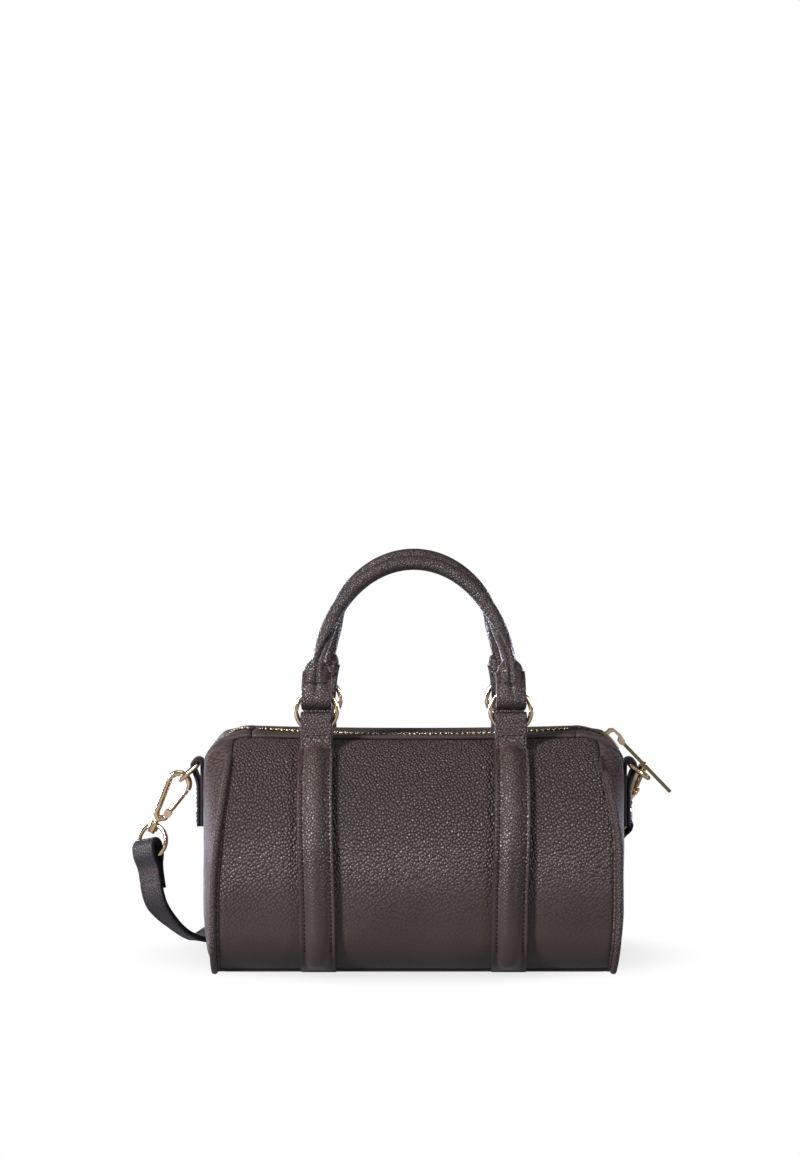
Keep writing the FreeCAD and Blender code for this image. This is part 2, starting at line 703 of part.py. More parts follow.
LEFT_BAR = Vector(-TAB_BAR_X, 0, TAB_BAR_Z)
RIGHT_BAR = Vector(TAB_BAR_X, 0, TAB_BAR_Z)
LEFT_OUT = outward(-1, LEFT_D_DOWN)
RIGHT_OUT = outward(1, RIGHT_D_DOWN)
NODES["left_d_ring"] = d_ring(LEFT_BAR, LEFT_OUT)
NODES["right_d_ring"] = d_ring(RIGHT_BAR, RIGHT_OUT)


# Snap hook in its own frame: x towards the gate, z up the stem, y across
def pear(x, z):
    return Vector(x, 0, z)


hook_r = HOOK_WIRE / 2
foot_pt = pear(*PEAR_FOOT)
base_pt = pear(*HOOK_BASE)
knuckle_pt = pear(*KNUCKLE)
pin_pt = pear(*GATE_PIN)
pear_c = pear(PEAR_X, PEAR_Z)
arc_start = pear(PEAR_X - PEAR_R, PEAR_Z)
hook_body = fuse([
    bend(arc_start, AX_Z, pear_c, AX_Y, 180 + NOSE_DROP, hook_r),
    rod(foot_pt, arc_start, hook_r),
    ball(arc_start, hook_r),
    ball(foot_pt, hook_r),
    rod(base_pt, foot_pt, hook_r),
    ball(base_pt, hook_r),
    rod(base_pt, knuckle_pt, hook_r),
    ball(knuckle_pt, hook_r),
    rod(knuckle_pt, pin_pt, hook_r),
    rod(pin_pt - AX_Y * (CLEVIS_W / 2), pin_pt + AX_Y * (CLEVIS_W / 2), CLEVIS_R),
    rod(pear(0, BOSS_END - HEAD_GAP - STEM_HEAD / 2), pear(0, HOOK_BASE[1]), STEM_R),
    rod(pear(0, BOSS_END - HEAD_GAP - STEM_HEAD), pear(0, BOSS_END - HEAD_GAP), STEM_HEAD_R),
])
tongue_room = TONGUE_W / 2 + TONGUE_FIT
tongue_reach = CLEVIS_R - 0.2
clevis_slot = block(
    GATE_PIN[0] - 2 * CLEVIS_R, GATE_PIN[0] + 2 * CLEVIS_R, -tongue_room, tongue_room,
    GATE_PIN[1] - tongue_reach - 0.2, GATE_PIN[1] + 2 * CLEVIS_R,
)
pin_hole = rod(pin_pt - AX_Y * CLEVIS_W, pin_pt + AX_Y * CLEVIS_W, GATE_PIN_R + GATE_PIN_FIT / 2)
hook_body = hook_body.cut(clevis_slot).cut(pin_hole)
nose_turn = math.radians(NOSE_DROP)
nose = pear(PEAR_X + PEAR_R * math.cos(nose_turn), PEAR_Z - PEAR_R * math.sin(nose_turn))
gate_way = unit(nose - pin_pt)
gate_len = (nose - pin_pt).Length - GATE_GAP - GATE_WIRE / 2 * math.tan(math.radians(15))
gate_foot = pin_pt + gate_way * (CLEVIS_R + 0.4)
gate_side = Vector(gate_way.z, 0, -gate_way.x)
neck = [
    pin_pt + gate_side * (GATE_WIRE / 2) - AX_Y * (TONGUE_W / 2),
    pin_pt - gate_side * (GATE_WIRE / 2) - AX_Y * (TONGUE_W / 2),
    gate_foot - gate_side * (GATE_WIRE / 2) - AX_Y * (TONGUE_W / 2) + gate_way,
    gate_foot + gate_side * (GATE_WIRE / 2) - AX_Y * (TONGUE_W / 2) + gate_way,
]
gate = fuse([
    rod(gate_foot, pin_pt + gate_way * gate_len, GATE_WIRE / 2),
    rod(pin_pt - AX_Y * (TONGUE_W / 2), pin_pt + AX_Y * (TONGUE_W / 2), tongue_reach),
    prism(neck, AX_Y * TONGUE_W),
]).cut(rod(pin_pt - AX_Y * CLEVIS_W, pin_pt + AX_Y * CLEVIS_W, GATE_PIN_R + GATE_PIN_FIT))
gate_pin = rod(pin_pt - AX_Y * (CLEVIS_W / 2), pin_pt + AX_Y * (CLEVIS_W / 2), GATE_PIN_R)
hang = pear(PEAR_X, PEAR_Z + PEAR_R - hook_r - HANG_GAP - D_WIRE / 2)


def place_hook(name, origin, gate_dir, stem_dir):
    across = stem_dir.cross(gate_dir)
    NODES[name + "_hook"] = in_frame(hook_body, origin, gate_dir, across, stem_dir)
    NODES[name + "_hook_gate"] = in_frame(gate, origin, gate_dir, across, stem_dir)
    NODES[name + "_gate_pin"] = in_frame(gate_pin, origin, gate_dir, across, stem_dir)
    print(name, "gate pivot", origin + gate_dir * GATE_PIN[0] + stem_dir * GATE_PIN[1], "axis", across)
    print(name, "stem", origin, "axis", stem_dir)


# Swivel eye: ring for the strap with a boss round the hook's stem
def swivel_eye(origin, stem_dir, strap_across):
    boss_mid = origin + stem_dir * EYE_AT
    up = unit(stem_dir - strap_across * stem_dir.dot(strap_across))
    centre = boss_mid - up * EYE_R
    eye = Part.makeTorus(EYE_R, EYE_WIRE / 2, centre, strap_across.cross(up))
    boss = rod(origin + stem_dir * BOSS_END, origin + stem_dir * BOSS_TOP, BOSS_R)
    bore_low = origin + stem_dir * (BOSS_END - HEAD_GAP)
    hole = rod(bore_low, origin + stem_dir * (BOSS_TOP + HEAD_GAP), STEM_R + STEM_FIT)
    return fuse([eye, boss]).cut(hole), centre, up


# Strap end: leather folded round the eye and sewn double
def strap_loop(centre, up, across, side):
    face_way = across.cross(up) * side
    fold = -(STRAP_CREST + STRAP_LOOP_R)
    outer_r = STRAP_LOOP_R + STRAP_T
    start = centre - across * (STRAP_W / 2)

    def at(h, u):
        return start + face_way * h + up * u

    outer = outline_face([
        arc(at(-outer_r, fold), at(0, fold + outer_r), at(outer_r, fold)),
        line(at(outer_r, fold), at(STRAP_T, -STRAP_SLOT - STRAP_T)),
        line(at(STRAP_T, -STRAP_SLOT - STRAP_T), at(STRAP_T, -STRAP_DOUBLE)),
        line(at(STRAP_T, -STRAP_DOUBLE), at(-STRAP_T, -STRAP_DOUBLE)),
        line(at(-STRAP_T, -STRAP_DOUBLE), at(-STRAP_T, -STRAP_SLOT - STRAP_T)),
        line(at(-STRAP_T, -STRAP_SLOT - STRAP_T), at(-outer_r, fold)),
    ])
    inner = outline_face([
        arc(at(-STRAP_LOOP_R, fold), at(0, fold + STRAP_LOOP_R), at(STRAP_LOOP_R, fold)),
        line(at(STRAP_LOOP_R, fold), at(STRAP_LOOP_R, -STRAP_SLOT)),
        line(at(STRAP_LOOP_R, -STRAP_SLOT), at(-STRAP_LOOP_R, -STRAP_SLOT)),
        line(at(-STRAP_LOOP_R, -STRAP_SLOT), at(-STRAP_LOOP_R, fold)),
    ])
    solid = outer.cut(inner).extrude(across * STRAP_W)
    return solid, centre - face_way * (STRAP_T / 2) - up * STRAP_DOUBLE


# Left hook hangs in the plane of the bag's length, as shown
LEFT_STEM = unit(Vector(0.44, 0, 0.898))
LEFT_GATE = Vector(LEFT_STEM.z, 0, -LEFT_STEM.x)
left_wire = LEFT_BAR + LEFT_OUT * (D_ARM + D_HALF)
LEFT_HOOK_AT = left_wire - LEFT_GATE * hang.x - LEFT_STEM * hang.z
LEFT_ACROSS = unit(Vector(0.91, -0.42, 0))
place_hook("left", LEFT_HOOK_AT, LEFT_GATE, LEFT_STEM)
NODES["left_swivel_eye"], left_eye_c, left_up = swivel_eye(LEFT_HOOK_AT, LEFT_STEM, LEFT_ACROSS)
NODES["strap_left_loop"], left_end = strap_loop(left_eye_c, left_up, LEFT_ACROSS, -1)

# Right hook is drawn back round the end, so it hangs on the rear of the D-ring's bow
HANG_TURN = math.radians(70)
RIGHT_STEM = unit(Vector(0.123, -0.70, 0.70))
bow_out = RIGHT_OUT * math.cos(HANG_TURN) + AX_Y * math.sin(HANG_TURN)
bow_way = RIGHT_OUT * -math.sin(HANG_TURN) + AX_Y * math.cos(HANG_TURN)
right_wire = RIGHT_BAR + RIGHT_OUT * D_ARM + bow_out * D_HALF
hook_normal = unit(bow_way - RIGHT_STEM * bow_way.dot(RIGHT_STEM))
RIGHT_GATE = hook_normal.cross(RIGHT_STEM)
RIGHT_HOOK_AT = right_wire - RIGHT_GATE * hang.x - RIGHT_STEM * hang.z
RIGHT_ACROSS = unit(Vector(0, 1, 1))
place_hook("right", RIGHT_HOOK_AT, RIGHT_GATE, RIGHT_STEM)
NODES["right_swivel_eye"], right_eye_c, right_up = swivel_eye(RIGHT_HOOK_AT, RIGHT_STEM, RIGHT_ACROSS)
NODES["strap_right_loop"], right_end = strap_loop(right_eye_c, right_up, RIGHT_ACROSS, -1)


# Strap stretches: a flat ribbon on a smooth line through route points, its width turning with it
def smooth_line(points, steps):
    samples = [points[0]]
    last = len(points) - 2
    for index in range(1, len(points) - 1):
        start = points[0] if index == 1 else (points[index - 1] + points[index]) / 2
        end = points[-1] if index == last else (points[index] + points[index + 1]) / 2
        for step in range(1, steps + 1):
            t = step / steps
            samples.append(start * (1 - t)**2 + points[index] * (2 * t * (1 - t)) + end * t**2)
    return samples


def ribbon(points, across):
    line_pts = smooth_line(points, 3)
    width_dirs = smooth_line(across, 3)
    sections = []
    for index, at in enumerate(line_pts):
        before = line_pts[max(index - 1, 0)]
        after = line_pts[min(index + 1, len(line_pts) - 1)]
        way = unit(after - before)
        if index == 0:
            way = unit(points[1] - points[0])
        if index == len(line_pts) - 1:
            way = unit(points[-1] - points[-2])
        wide = unit(width_dirs[index] - way * width_dirs[index].dot(way)) * (STRAP_W / 2)
        thick = unit(wide.cross(way)) * (STRAP_T / 2)
        ring_pts = [at + wide + thick, at - wide + thick, at - wide - thick, at + wide - thick]
        sections.append(Part.makePolygon(ring_pts + [ring_pts[0]]))
    length = sum((b - a).Length for a, b in zip(line_pts, line_pts[1:]))
    return Part.makeLoft(sections, True, True), length


hank_in = Vector(-HANK_HALF, HANK_Y, HANK_Z)
hank_top = HANK_Z + (HANK_LAYERS - 1) * HANK_STEP
hank_out = Vector(HANK_HALF, HANK_Y, hank_top)
floor_z = STRAP_T / 2 + 0.1
left_route = [
    left_end, left_end - left_up * 9,
    Vector(-137.5, -6, 19.5), Vector(-131, 1, 12.5), Vector(-124.5, 11, 7.0), Vector(-119.5, 24, 3.6),
    Vector(-116.5, 40, floor_z + 0.6), Vector(-110, 58, floor_z + 0.2), Vector(-97, 74, floor_z + 0.2),
    hank_in - AX_X * 8, hank_in,
]
left_turning = [
    LEFT_ACROSS, LEFT_ACROSS,
    Vector(0.88, -0.47, 0.1), Vector(0.86, -0.50, 0.1), Vector(0.88, -0.46, 0), Vector(0.94, -0.33, 0),
    Vector(0.95, -0.30, 0), Vector(0.84, -0.54, 0), Vector(0.50, -0.87, 0),
    Vector(0, -1, 0), Vector(0, -1, 0),
]
right_route = [
    right_end, right_end - right_up * 9,
    Vector(114, 65, 37), Vector(106, 74, 30), Vector(93, 80, 26.4),
    hank_out + AX_X * 8, hank_out,
]
right_turning = [
    RIGHT_ACROSS, RIGHT_ACROSS,
    Vector(0, 0.76, 0.65), Vector(0.25, 0.88, 0.40), Vector(0.1, 0.98, 0.15),
    AX_Y, AX_Y,
]
NODES["strap_left_stretch"], left_length = ribbon(left_route, left_turning)
NODES["strap_right_stretch"], right_length = ribbon(right_route, right_turning)


# Hank: the spare strap folded to and fro behind the bag, layers on a fixed step
def hank_solid():
    strips = []
    turn = HANK_STEP / 2
    inner = turn - STRAP_T / 2
    outer = turn + STRAP_T / 2
    y0 = HANK_Y - STRAP_W / 2
    y1 = HANK_Y + STRAP_W / 2
    for level in range(HANK_LAYERS):
        z = HANK_Z + level * HANK_STEP
        strips.append(block(-HANK_HALF, HANK_HALF, y0, y1, z - STRAP_T / 2, z + STRAP_T / 2))
        if level < HANK_LAYERS - 1:
            side = 1 if level % 2 == 0 else -1
            foot = Vector(side * HANK_HALF, y0, z + turn)
            tube = rod(foot, foot + AX_Y * STRAP_W, outer).cut(rod(foot, foot + AX_Y * STRAP_W, inner))
            half = block(0, 2 * outer, y0, y1, z + turn - outer, z + turn + outer)
            half = moved(half, Vector(HANK_HALF, 0, 0))
            strips.append(tube.common(half if side > 0 else mirror_x(half)))
    return fuse(strips)


NODES["strap_hank"] = hank_solid()
tie_y = STRAP_W / 2 + TIE_FIT
tie_top = hank_top + STRAP_T / 2 + TIE_FIT
tie_outer = block(
    -TIE_W / 2, TIE_W / 2, HANK_Y - tie_y - TIE_T, HANK_Y + tie_y + TIE_T, 0, tie_top + TIE_T
)
tie_inner = block(-TIE_W, TIE_W, HANK_Y - tie_y, HANK_Y + tie_y, TIE_T, tie_top)
NODES["strap_tie"] = tie_outer.cut(tie_inner)
hank_length = HANK_LAYERS * 2 * HANK_HALF + (HANK_LAYERS - 1) * math.pi * HANK_STEP / 2
strap_ends = 2 * (2 * STRAP_DOUBLE)
print("strap length", round(left_length + right_length + hank_length + strap_ends, 1))
print("left stretch", round(left_length, 1), "right", round(right_length, 1), "hank", round(hank_length, 1))

# Pivots for the record, in millimetres
print("lip hinge", BAND_HALF, shoulder_z(BAND_HALF, LEATHER))
print("slider hinge", CORNER_C, "pull", PULL_PIVOT)
print("chape hinge", RING_Y + loop_outer, CHAPE_TOP_Z + CHAPE_SEAT / 2, "handle", RING_Y, PIVOT_Z)
print("d bars", LEFT_BAR, RIGHT_BAR, "ring z", RING_Z)
print("eyes", left_eye_c, right_eye_c, "ends", left_end, right_end)

for name, shape in NODES.items():
    solids = shape.Solids
    if not shape.isValid() or not solids or any(one.Volume <= 0 for one in solids):
        print("CHECK", name, shape.isValid(), len(solids), [round(one.Volume, 2) for one in solids])
    node = solids[0] if len(solids) == 1 else group(solids)
    node.exportStep("parts/" + name + ".step")
print(len(NODES), "nodes")
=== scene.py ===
import json
import math
from itertools import product

import bmesh
import bpy
from mathutils import Matrix, Vector, noise


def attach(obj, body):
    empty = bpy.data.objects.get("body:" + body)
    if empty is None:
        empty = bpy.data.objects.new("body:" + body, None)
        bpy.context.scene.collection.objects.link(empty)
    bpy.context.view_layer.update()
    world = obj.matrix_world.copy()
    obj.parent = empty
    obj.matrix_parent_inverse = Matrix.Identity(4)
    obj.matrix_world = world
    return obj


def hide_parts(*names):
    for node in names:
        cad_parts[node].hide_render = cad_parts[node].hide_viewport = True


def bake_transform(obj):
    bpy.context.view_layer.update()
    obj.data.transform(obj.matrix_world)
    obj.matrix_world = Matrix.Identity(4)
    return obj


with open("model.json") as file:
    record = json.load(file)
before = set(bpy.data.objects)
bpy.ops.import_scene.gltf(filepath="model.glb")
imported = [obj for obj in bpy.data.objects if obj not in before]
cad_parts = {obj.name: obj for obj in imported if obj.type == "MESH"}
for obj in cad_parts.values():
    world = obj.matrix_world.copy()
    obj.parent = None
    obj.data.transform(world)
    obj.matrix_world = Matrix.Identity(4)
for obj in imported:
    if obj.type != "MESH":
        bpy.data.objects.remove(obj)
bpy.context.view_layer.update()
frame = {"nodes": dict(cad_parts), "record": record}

# Lengths are in millimetres, as in the solid model, and each finished mesh is scaled to metres
MM = 0.001
AX_X = Vector((1, 0, 0))
AX_Y = Vector((0, 1, 0))
AX_Z = Vector((0, 0, 1))

# Names of the bag's two rows and two ends, with their sides of its middle
ROWS = (("front", -1), ("rear", 1))
ENDS = (("left", -1), ("right", 1))

# Barrel. Each end seam has a shift out, the distance down where it is upright, and a lean at its foot.
# Places named _S are distances down from the crown round the section.
END_X = 110.0
SEAM_X = 100.0
SEAM_LEAN = 5.8
SEAM_LEAN_S = 36.0
LEFT_SEAM = (0.0, 116.0, 0.0)
RIGHT_SEAM = (2.4, 90.0, 2.0)
SEAM_GAP = 0.2
SHOULDER_R = 60.0
AXIS_Z = 60.0
BODY_HEIGHT = 120.0
BASE_CORNER = 24.0
BASE_SEAM_Z = 3.0
TOP_CORNER = 24.0
BULGE_R = 185.0
BARREL_MIDDLE = Vector((0, 0, AXIS_Z))
LEATHER = 2.0
SAG = 3.4
SAG_HALF = 88.0
PANEL_EDGE_Y = 17.3
BAND_HALF = 16.5
EDGE_SAG = 0.35

# Zip band, whose edges stand up at the left and right corners by these lifts
CORNER_LIFT = (3.6, 2.6)
CORNER_SINK = 1.3
CORNER_BEND = (0.03, 0.22)
BAND_TUCK = 7.0
BAND_DIP = 3.6
LIP_END = 84.0
LIP_GAP = 0.35
ZIP_END_Z = 104.0
TOOTH_PITCH = 2.8

# Handle fittings
RING_X = 50.0
RING_Y = 27.5
PIVOT_Z = 141.9
HANDLE_RISE = 67.5
ROLL_R = 3.8
FRONT_LEAN = 16.0
REAR_LEAN = 4.0

# End tabs and strap
TAB_W = 11.4
TAB_LOW = 68.2
BAR_X = 113.8
BAR_Z = 100.2
STRAP_W = 13.0
STRAP_T = 2.6


# Shader helpers
def put(tree, node, inputs):
    """Sets sockets of a node, or links them where the value is another node's output."""
    for socket, value in inputs.items():
        if isinstance(value, bpy.types.NodeSocket):
            tree.links.new(value, node.inputs[socket])
        else:
            node.inputs[socket].default_value = value


def add(tree, kind, inputs=None, **settings):
    node = tree.nodes.new("ShaderNode" + kind)
    for key, value in settings.items():
        setattr(node, key, value)
    put(tree, node, inputs or {})
    return node


def math_node(tree, operation, a, b):
    return add(tree, "Math", {0: a, 1: b}, operation=operation).outputs[0]


def ramp(tree, value, low, high, to_low, to_high):
    inputs = {"Value": value, "From Min": low, "From Max": high, "To Min": to_low, "To Max": to_high}
    return add(tree, "MapRange", inputs, interpolation_type="SMOOTHSTEP").outputs["Result"]


def mix_colour(tree, share, first, second):
    node = add(tree, "Mix", {"Factor": share}, data_type="RGBA")
    for name, colour in (("A", first), ("B", second)):
        socket = next(i for i in node.inputs if i.name == name and i.type == "RGBA")
        if isinstance(colour, tuple):
            socket.default_value = (*colour, 1)
        else:
            tree.links.new(colour, socket)
    return next(o for o in node.outputs if o.type == "RGBA")


def noise_node(tree, place, scale, detail=2.0, **settings):
    return add(tree, "TexNoise", {"Vector": place, "Scale": scale, "Detail": detail}, **settings)


def new_group(name, inputs, outputs):
    group = bpy.data.node_groups.new(name, "ShaderNodeTree")
    for way, sockets in (("INPUT", inputs), ("OUTPUT", outputs)):
        for label, kind in sockets.items():
            group.interface.new_socket(name=label, in_out=way, socket_type="NodeSocket" + kind)
    return group, group.nodes.new("NodeGroupInput").outputs, group.nodes.new("NodeGroupOutput")


# Pebbled grain on the unrolled hide: rounded cells parted by fine creases, drawn out a little on one slant
GRAIN_TURN = {"Rotation": (0.0, 0.0, 0.6), "Scale": (1.0, 0.82, 1.0)}
GRAIN_WANDER = 1.1
GRAIN_FINE = 0.12
GRAIN_DOME = 0.65
GRAIN_PLATEAU = 0.35


def pebble_group():
    group, given, result = new_group(
        "pebble_grain", {"Vector": "Vector", "Scale": "Float"},
        {"Height": "Float", "Crease": "Float", "Crown": "Float"},
    )
    slanted = add(group, "Mapping", {"Vector": given["Vector"], **GRAIN_TURN}).outputs["Vector"]
    wander = noise_node(group, slanted, 0.3, noise_dimensions="2D").outputs["Color"]
    push = add(group, "VectorMath", {0: wander, "Scale": GRAIN_WANDER}, operation="SCALE").outputs["Vector"]
    place = add(group, "VectorMath", {0: slanted, 1: push}, operation="ADD").outputs["Vector"]
    distances = []
    for feature in ("DISTANCE_TO_EDGE", "F1"):
        inputs = {"Vector": place, "Scale": given["Scale"], "Randomness": 0.75}
        cells = add(group, "TexVoronoi", inputs, voronoi_dimensions="2D", feature=feature)
        distances.append(cells.outputs["Distance"])
    from_edge, from_middle = distances
    plateau = ramp(group, from_edge, 0.0, 0.26, 0.0, 1.0)
    dome = ramp(group, from_middle, 0.0, 0.7, 1.0, 0.0)
    fine_scale = math_node(group, "MULTIPLY", given["Scale"], 3.0)
    fine = noise_node(group, given["Vector"], fine_scale, noise_dimensions="2D").outputs["Fac"]
    height = 0.0
    for part, share in ((dome, GRAIN_DOME), (plateau, GRAIN_PLATEAU), (fine, GRAIN_FINE)):
        height = math_node(group, "ADD", height, math_node(group, "MULTIPLY", part, share))
    crease = math_node(group, "SUBTRACT", 1.0, plateau)
    crown = ramp(group, from_middle, 0.05, 0.5, 1.0, 0.0)
    put(group, result, {"Height": height, "Crease": crease, "Crown": crown})
    return group


# Slow drift of tone over a hide, as dye takes unevenly
def tone_group():
    group, given, result = new_group("dye_drift", {"Vector": "Vector"}, {"Share": "Float"})
    broad = noise_node(group, given["Vector"], 26.0, 3.0).outputs["Fac"]
    put(group, result, {"Share": ramp(group, broad, 0.3, 0.7, 0.0, 1.0)})
    return group


# Woven cloth: two crossing sets of yarns
def weave_group():
    group, given, result = new_group(
        "woven_yarns", {"Vector": "Vector", "Scale": "Float"}, {"Height": "Float"}
    )
    heights = []
    for direction in ("X", "Y"):
        inputs = {"Vector": given["Vector"], "Scale": given["Scale"], "Distortion": 0.6}
        yarns = add(group, "TexWave", inputs, wave_type="BANDS", bands_direction=direction)
        heights.append(yarns.outputs["Fac"])
    put(group, result, {"Height": math_node(group, "MAXIMUM", *heights)})
    return group


PEBBLES = pebble_group()
DRIFT = tone_group()
WEAVE = weave_group()


def placed_group(tree, group, **inputs):
    return add(tree, "Group", inputs, node_tree=group).outputs


def dyed(tree, place, dark, pale):
    return mix_colour(tree, placed_group(tree, DRIFT, Vector=place)["Share"], dark, pale)


def empty_tree(owner):
    owner.use_nodes = True
    owner.node_tree.nodes.clear()
    return owner.node_tree


def new_material(name):
    material = bpy.data.materials.new(name)
    tree = empty_tree(material)
    shader = add(tree, "BsdfPrincipled")
    add(tree, "OutputMaterial", {"Surface": shader.outputs["BSDF"]})
    return material, tree, shader, add(tree, "TexCoord").outputs["Object"]


def bump(tree, height, strength, depth):
    inputs = {"Height": height, "Strength": strength, "Distance": depth * MM}
    return add(tree, "Bump", inputs).outputs["Normal"]


# Leather: heights in metres between which low grain is worn smooth, with its painted crease shade and crown
# highlight, and the top of an end is dulled
WORN_HEIGHTS = (0.005, 0.105)
WORN_SHARE = 0.04
DULL_HEIGHTS = (0.05, 0.1)
# Painted highlight: gain by which the pebbles' crowns are made paler, standing in for glints of light
CROWN_HIGHLIGHT = 1.6
CREASE_MATT = 0.25


def leather(name, dark, pale, cell, depth, gloss, contrast, worn_low=False, dull_top=0.0):
    material, tree, shader, place = new_material(name)
    grain = placed_group(tree, PEBBLES, Vector=add(tree, "TexCoord").outputs["UV"], Scale=1.0 / cell)
    crease = grain["Crease"]
    crown = grain["Crown"]
    strength = 1.0
    height = add(tree, "SeparateXYZ", {"Vector": place}).outputs["Z"]
    if worn_low:
        strength = ramp(tree, height, *WORN_HEIGHTS, WORN_SHARE, 1.0)
        crease = math_node(tree, "MULTIPLY", crease, strength)
        crown = math_node(tree, "MULTIPLY", crown, strength)
    # Painted shade: the grain's creases are darkened in the colour, standing in for the shadow that falls in
    # them
    deep = tuple((1 - contrast) * value for value in dark)
    # Painted highlight: the pebbles' crowns are made paler, as if catching the light
    crown_highlight = tuple((1 + CROWN_HIGHLIGHT * contrast) * value for value in pale)
    crease_shaded = mix_colour(tree, crease, dyed(tree, place, dark, pale), deep)
    rough = math_node(tree, "ADD", math_node(tree, "MULTIPLY", crease, CREASE_MATT), gloss)
    if dull_top:
        rough = math_node(tree, "ADD", rough, ramp(tree, height, *DULL_HEIGHTS, 0.0, dull_top))
    put(tree, shader, {
        "Base Color": mix_colour(tree, crown, crease_shaded, crown_highlight), "Roughness": rough,
        "Normal": bump(tree, grain["Height"], strength, depth), "Specular IOR Level": 0.4,
    })
    return material


def painted_edge(name, dark, pale):
    material, tree, shader, place = new_material(name)
    grit = noise_node(tree, place, 900.0).outputs["Fac"]
    put(tree, shader, {
        "Base Color": dyed(tree, place, dark, pale), "Roughness": ramp(tree, grit, 0.3, 0.7, 0.5, 0.66),
        "Normal": bump(tree, grit, 0.3, 0.08), "Specular IOR Level": 0.22,
    })
    return material


def plating(name, dark, pale):
    material, tree, shader, place = new_material(name)
    rub = noise_node(tree, place, 420.0, 4.0).outputs["Fac"]
    put(tree, shader, {
        "Base Color": dyed(tree, place, dark, pale), "Roughness": ramp(tree, rub, 0.35, 0.7, 0.1, 0.18),
        "Normal": bump(tree, rub, 0.05, 0.05), "Metallic": 1.0,
    })
    return material


def thread(name, dark, pale):
    material, tree, shader, place = new_material(name)
    inputs = {"Vector": place, "Scale": 900.0}
    ply = add(tree, "TexWave", inputs, wave_type="BANDS", bands_direction="DIAGONAL").outputs["Fac"]
    put(tree, shader, {
        "Base Color": dyed(tree, place, dark, pale), "Roughness": 0.7,
        "Normal": bump(tree, ply, 0.5, 0.1), "Specular IOR Level": 0.12,
    })
    return material


def cloth(name, dark, pale, yarn, rough):
    material, tree, shader, place = new_material(name)
    weave = placed_group(tree, WEAVE, Vector=place, Scale=0.32 / (yarn * MM))["Height"]
    put(tree, shader, {
        "Base Color": mix_colour(tree, weave, dark, pale),
        "Roughness": ramp(tree, weave, 0.2, 0.9, rough, rough - 0.12), "Normal": bump(tree, weave, 0.6, 0.2),
    })
    return material


# Finishes: two tones, then for leather its grain's size and depth in millimetres, roughness, and the contrast
# of its painted crease shade and crown highlight
BROWN_DARK = (0.029, 0.0166, 0.0162)
BROWN_PALE = (0.039, 0.0235, 0.023)
SHEEN_DARK = (0.021, 0.0122, 0.0122)
SHEEN_PALE = (0.029, 0.0175, 0.0175)
BODY_HIDE = leather("pebbled_body_leather", BROWN_DARK, BROWN_PALE, 1.5, 1.0, 0.37, 0.7, worn_low=True)
TRIM_HIDE = leather("pebbled_trim_leather", BROWN_DARK, BROWN_PALE, 1.35, 0.34, 0.32, 0.5, worn_low=True)
ROLL_HIDE = leather("fine_roll_leather", SHEEN_DARK, SHEEN_PALE, 1.25, 0.26, 0.25, 0.4)
END_HIDE = leather("pebbled_end_leather", BROWN_DARK, BROWN_PALE, 1.5, 0.22, 0.42, 0.3, dull_top=0.4)
PIPING_HIDE = leather("fine_piping_leather", BROWN_DARK, BROWN_PALE, 1.25, 0.3, 0.4, 0.5, dull_top=0.35)
BAND_HIDE = leather("smooth_band_leather", BROWN_DARK, BROWN_PALE, 1.0, 0.06, 0.52, 0.2)
STRAP_HIDE = leather("strap_leather", (0.0185, 0.0138, 0.018), (0.0255, 0.0195, 0.0245), 1.0, 0.14, 0.42, 0.4)
EDGE = painted_edge("painted_edge", (0.012, 0.0098, 0.0128), (0.021, 0.0175, 0.023))
GOLD = plating("pale_gold_plating", (0.8, 0.58, 0.34), (0.9, 0.69, 0.45))
TOOTH_GOLD = plating("dull_tooth_plating", (0.18, 0.14, 0.085), (0.3, 0.24, 0.145))
BRONZE = plating("bronzed_plating", (0.2, 0.14, 0.075), (0.34, 0.24, 0.12))
THREAD = thread("stitching_thread", (0.012, 0.006, 0.006), (0.03, 0.013, 0.011))
TACK_THREAD = thread("tacking_thread", (0.08, 0.027, 0.018), (0.13, 0.048, 0.03))
TAPE = cloth("zip_tape_weave", (0.012, 0.009, 0.009), (0.028, 0.021, 0.02), 0.5, 0.75)
LINING = cloth("lining_twill", (0.05, 0.036, 0.03), (0.085, 0.064, 0.052), 0.6, 0.8)
BOARD = cloth("board_cover_weave", (0.04, 0.03, 0.026), (0.07, 0.054, 0.045), 0.7, 0.85)
CORE = cloth("handle_core_fibre", (0.3, 0.26, 0.2), (0.45, 0.4, 0.32), 0.8, 0.8)
TIE = cloth("tie_ribbon_weave", (0.03, 0.024, 0.022), (0.06, 0.048, 0.044), 0.5, 0.7)


# Mesh helpers
def finish_piece(bm, name, materials, body=None, replaced=()):
    bmesh.ops.scale(bm, vec=(MM, MM, MM), verts=bm.verts)
    for face in bm.faces:
        face.smooth = True
    mesh = bpy.data.meshes.new(name)
    bm.to_mesh(mesh)
    bm.free()
    piece = bpy.data.objects.new(name, mesh)
    bpy.context.scene.collection.objects.link(piece)
    for material in materials:
        mesh.materials.append(material)
    if body:
        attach(piece, body)
    if replaced:
        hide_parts(*replaced)
    return piece


def solid_normals(bm):
    """Welds a closed mesh and turns its faces outward."""
    bmesh.ops.remove_doubles(bm, verts=bm.verts, dist=0.0005)
    bmesh.ops.recalc_face_normals(bm, faces=bm.faces)


def thicken(piece, thickness, offset):
    wall = piece.modifiers.new("wall", "SOLIDIFY")
    wall.thickness = thickness * MM
    wall.offset = offset


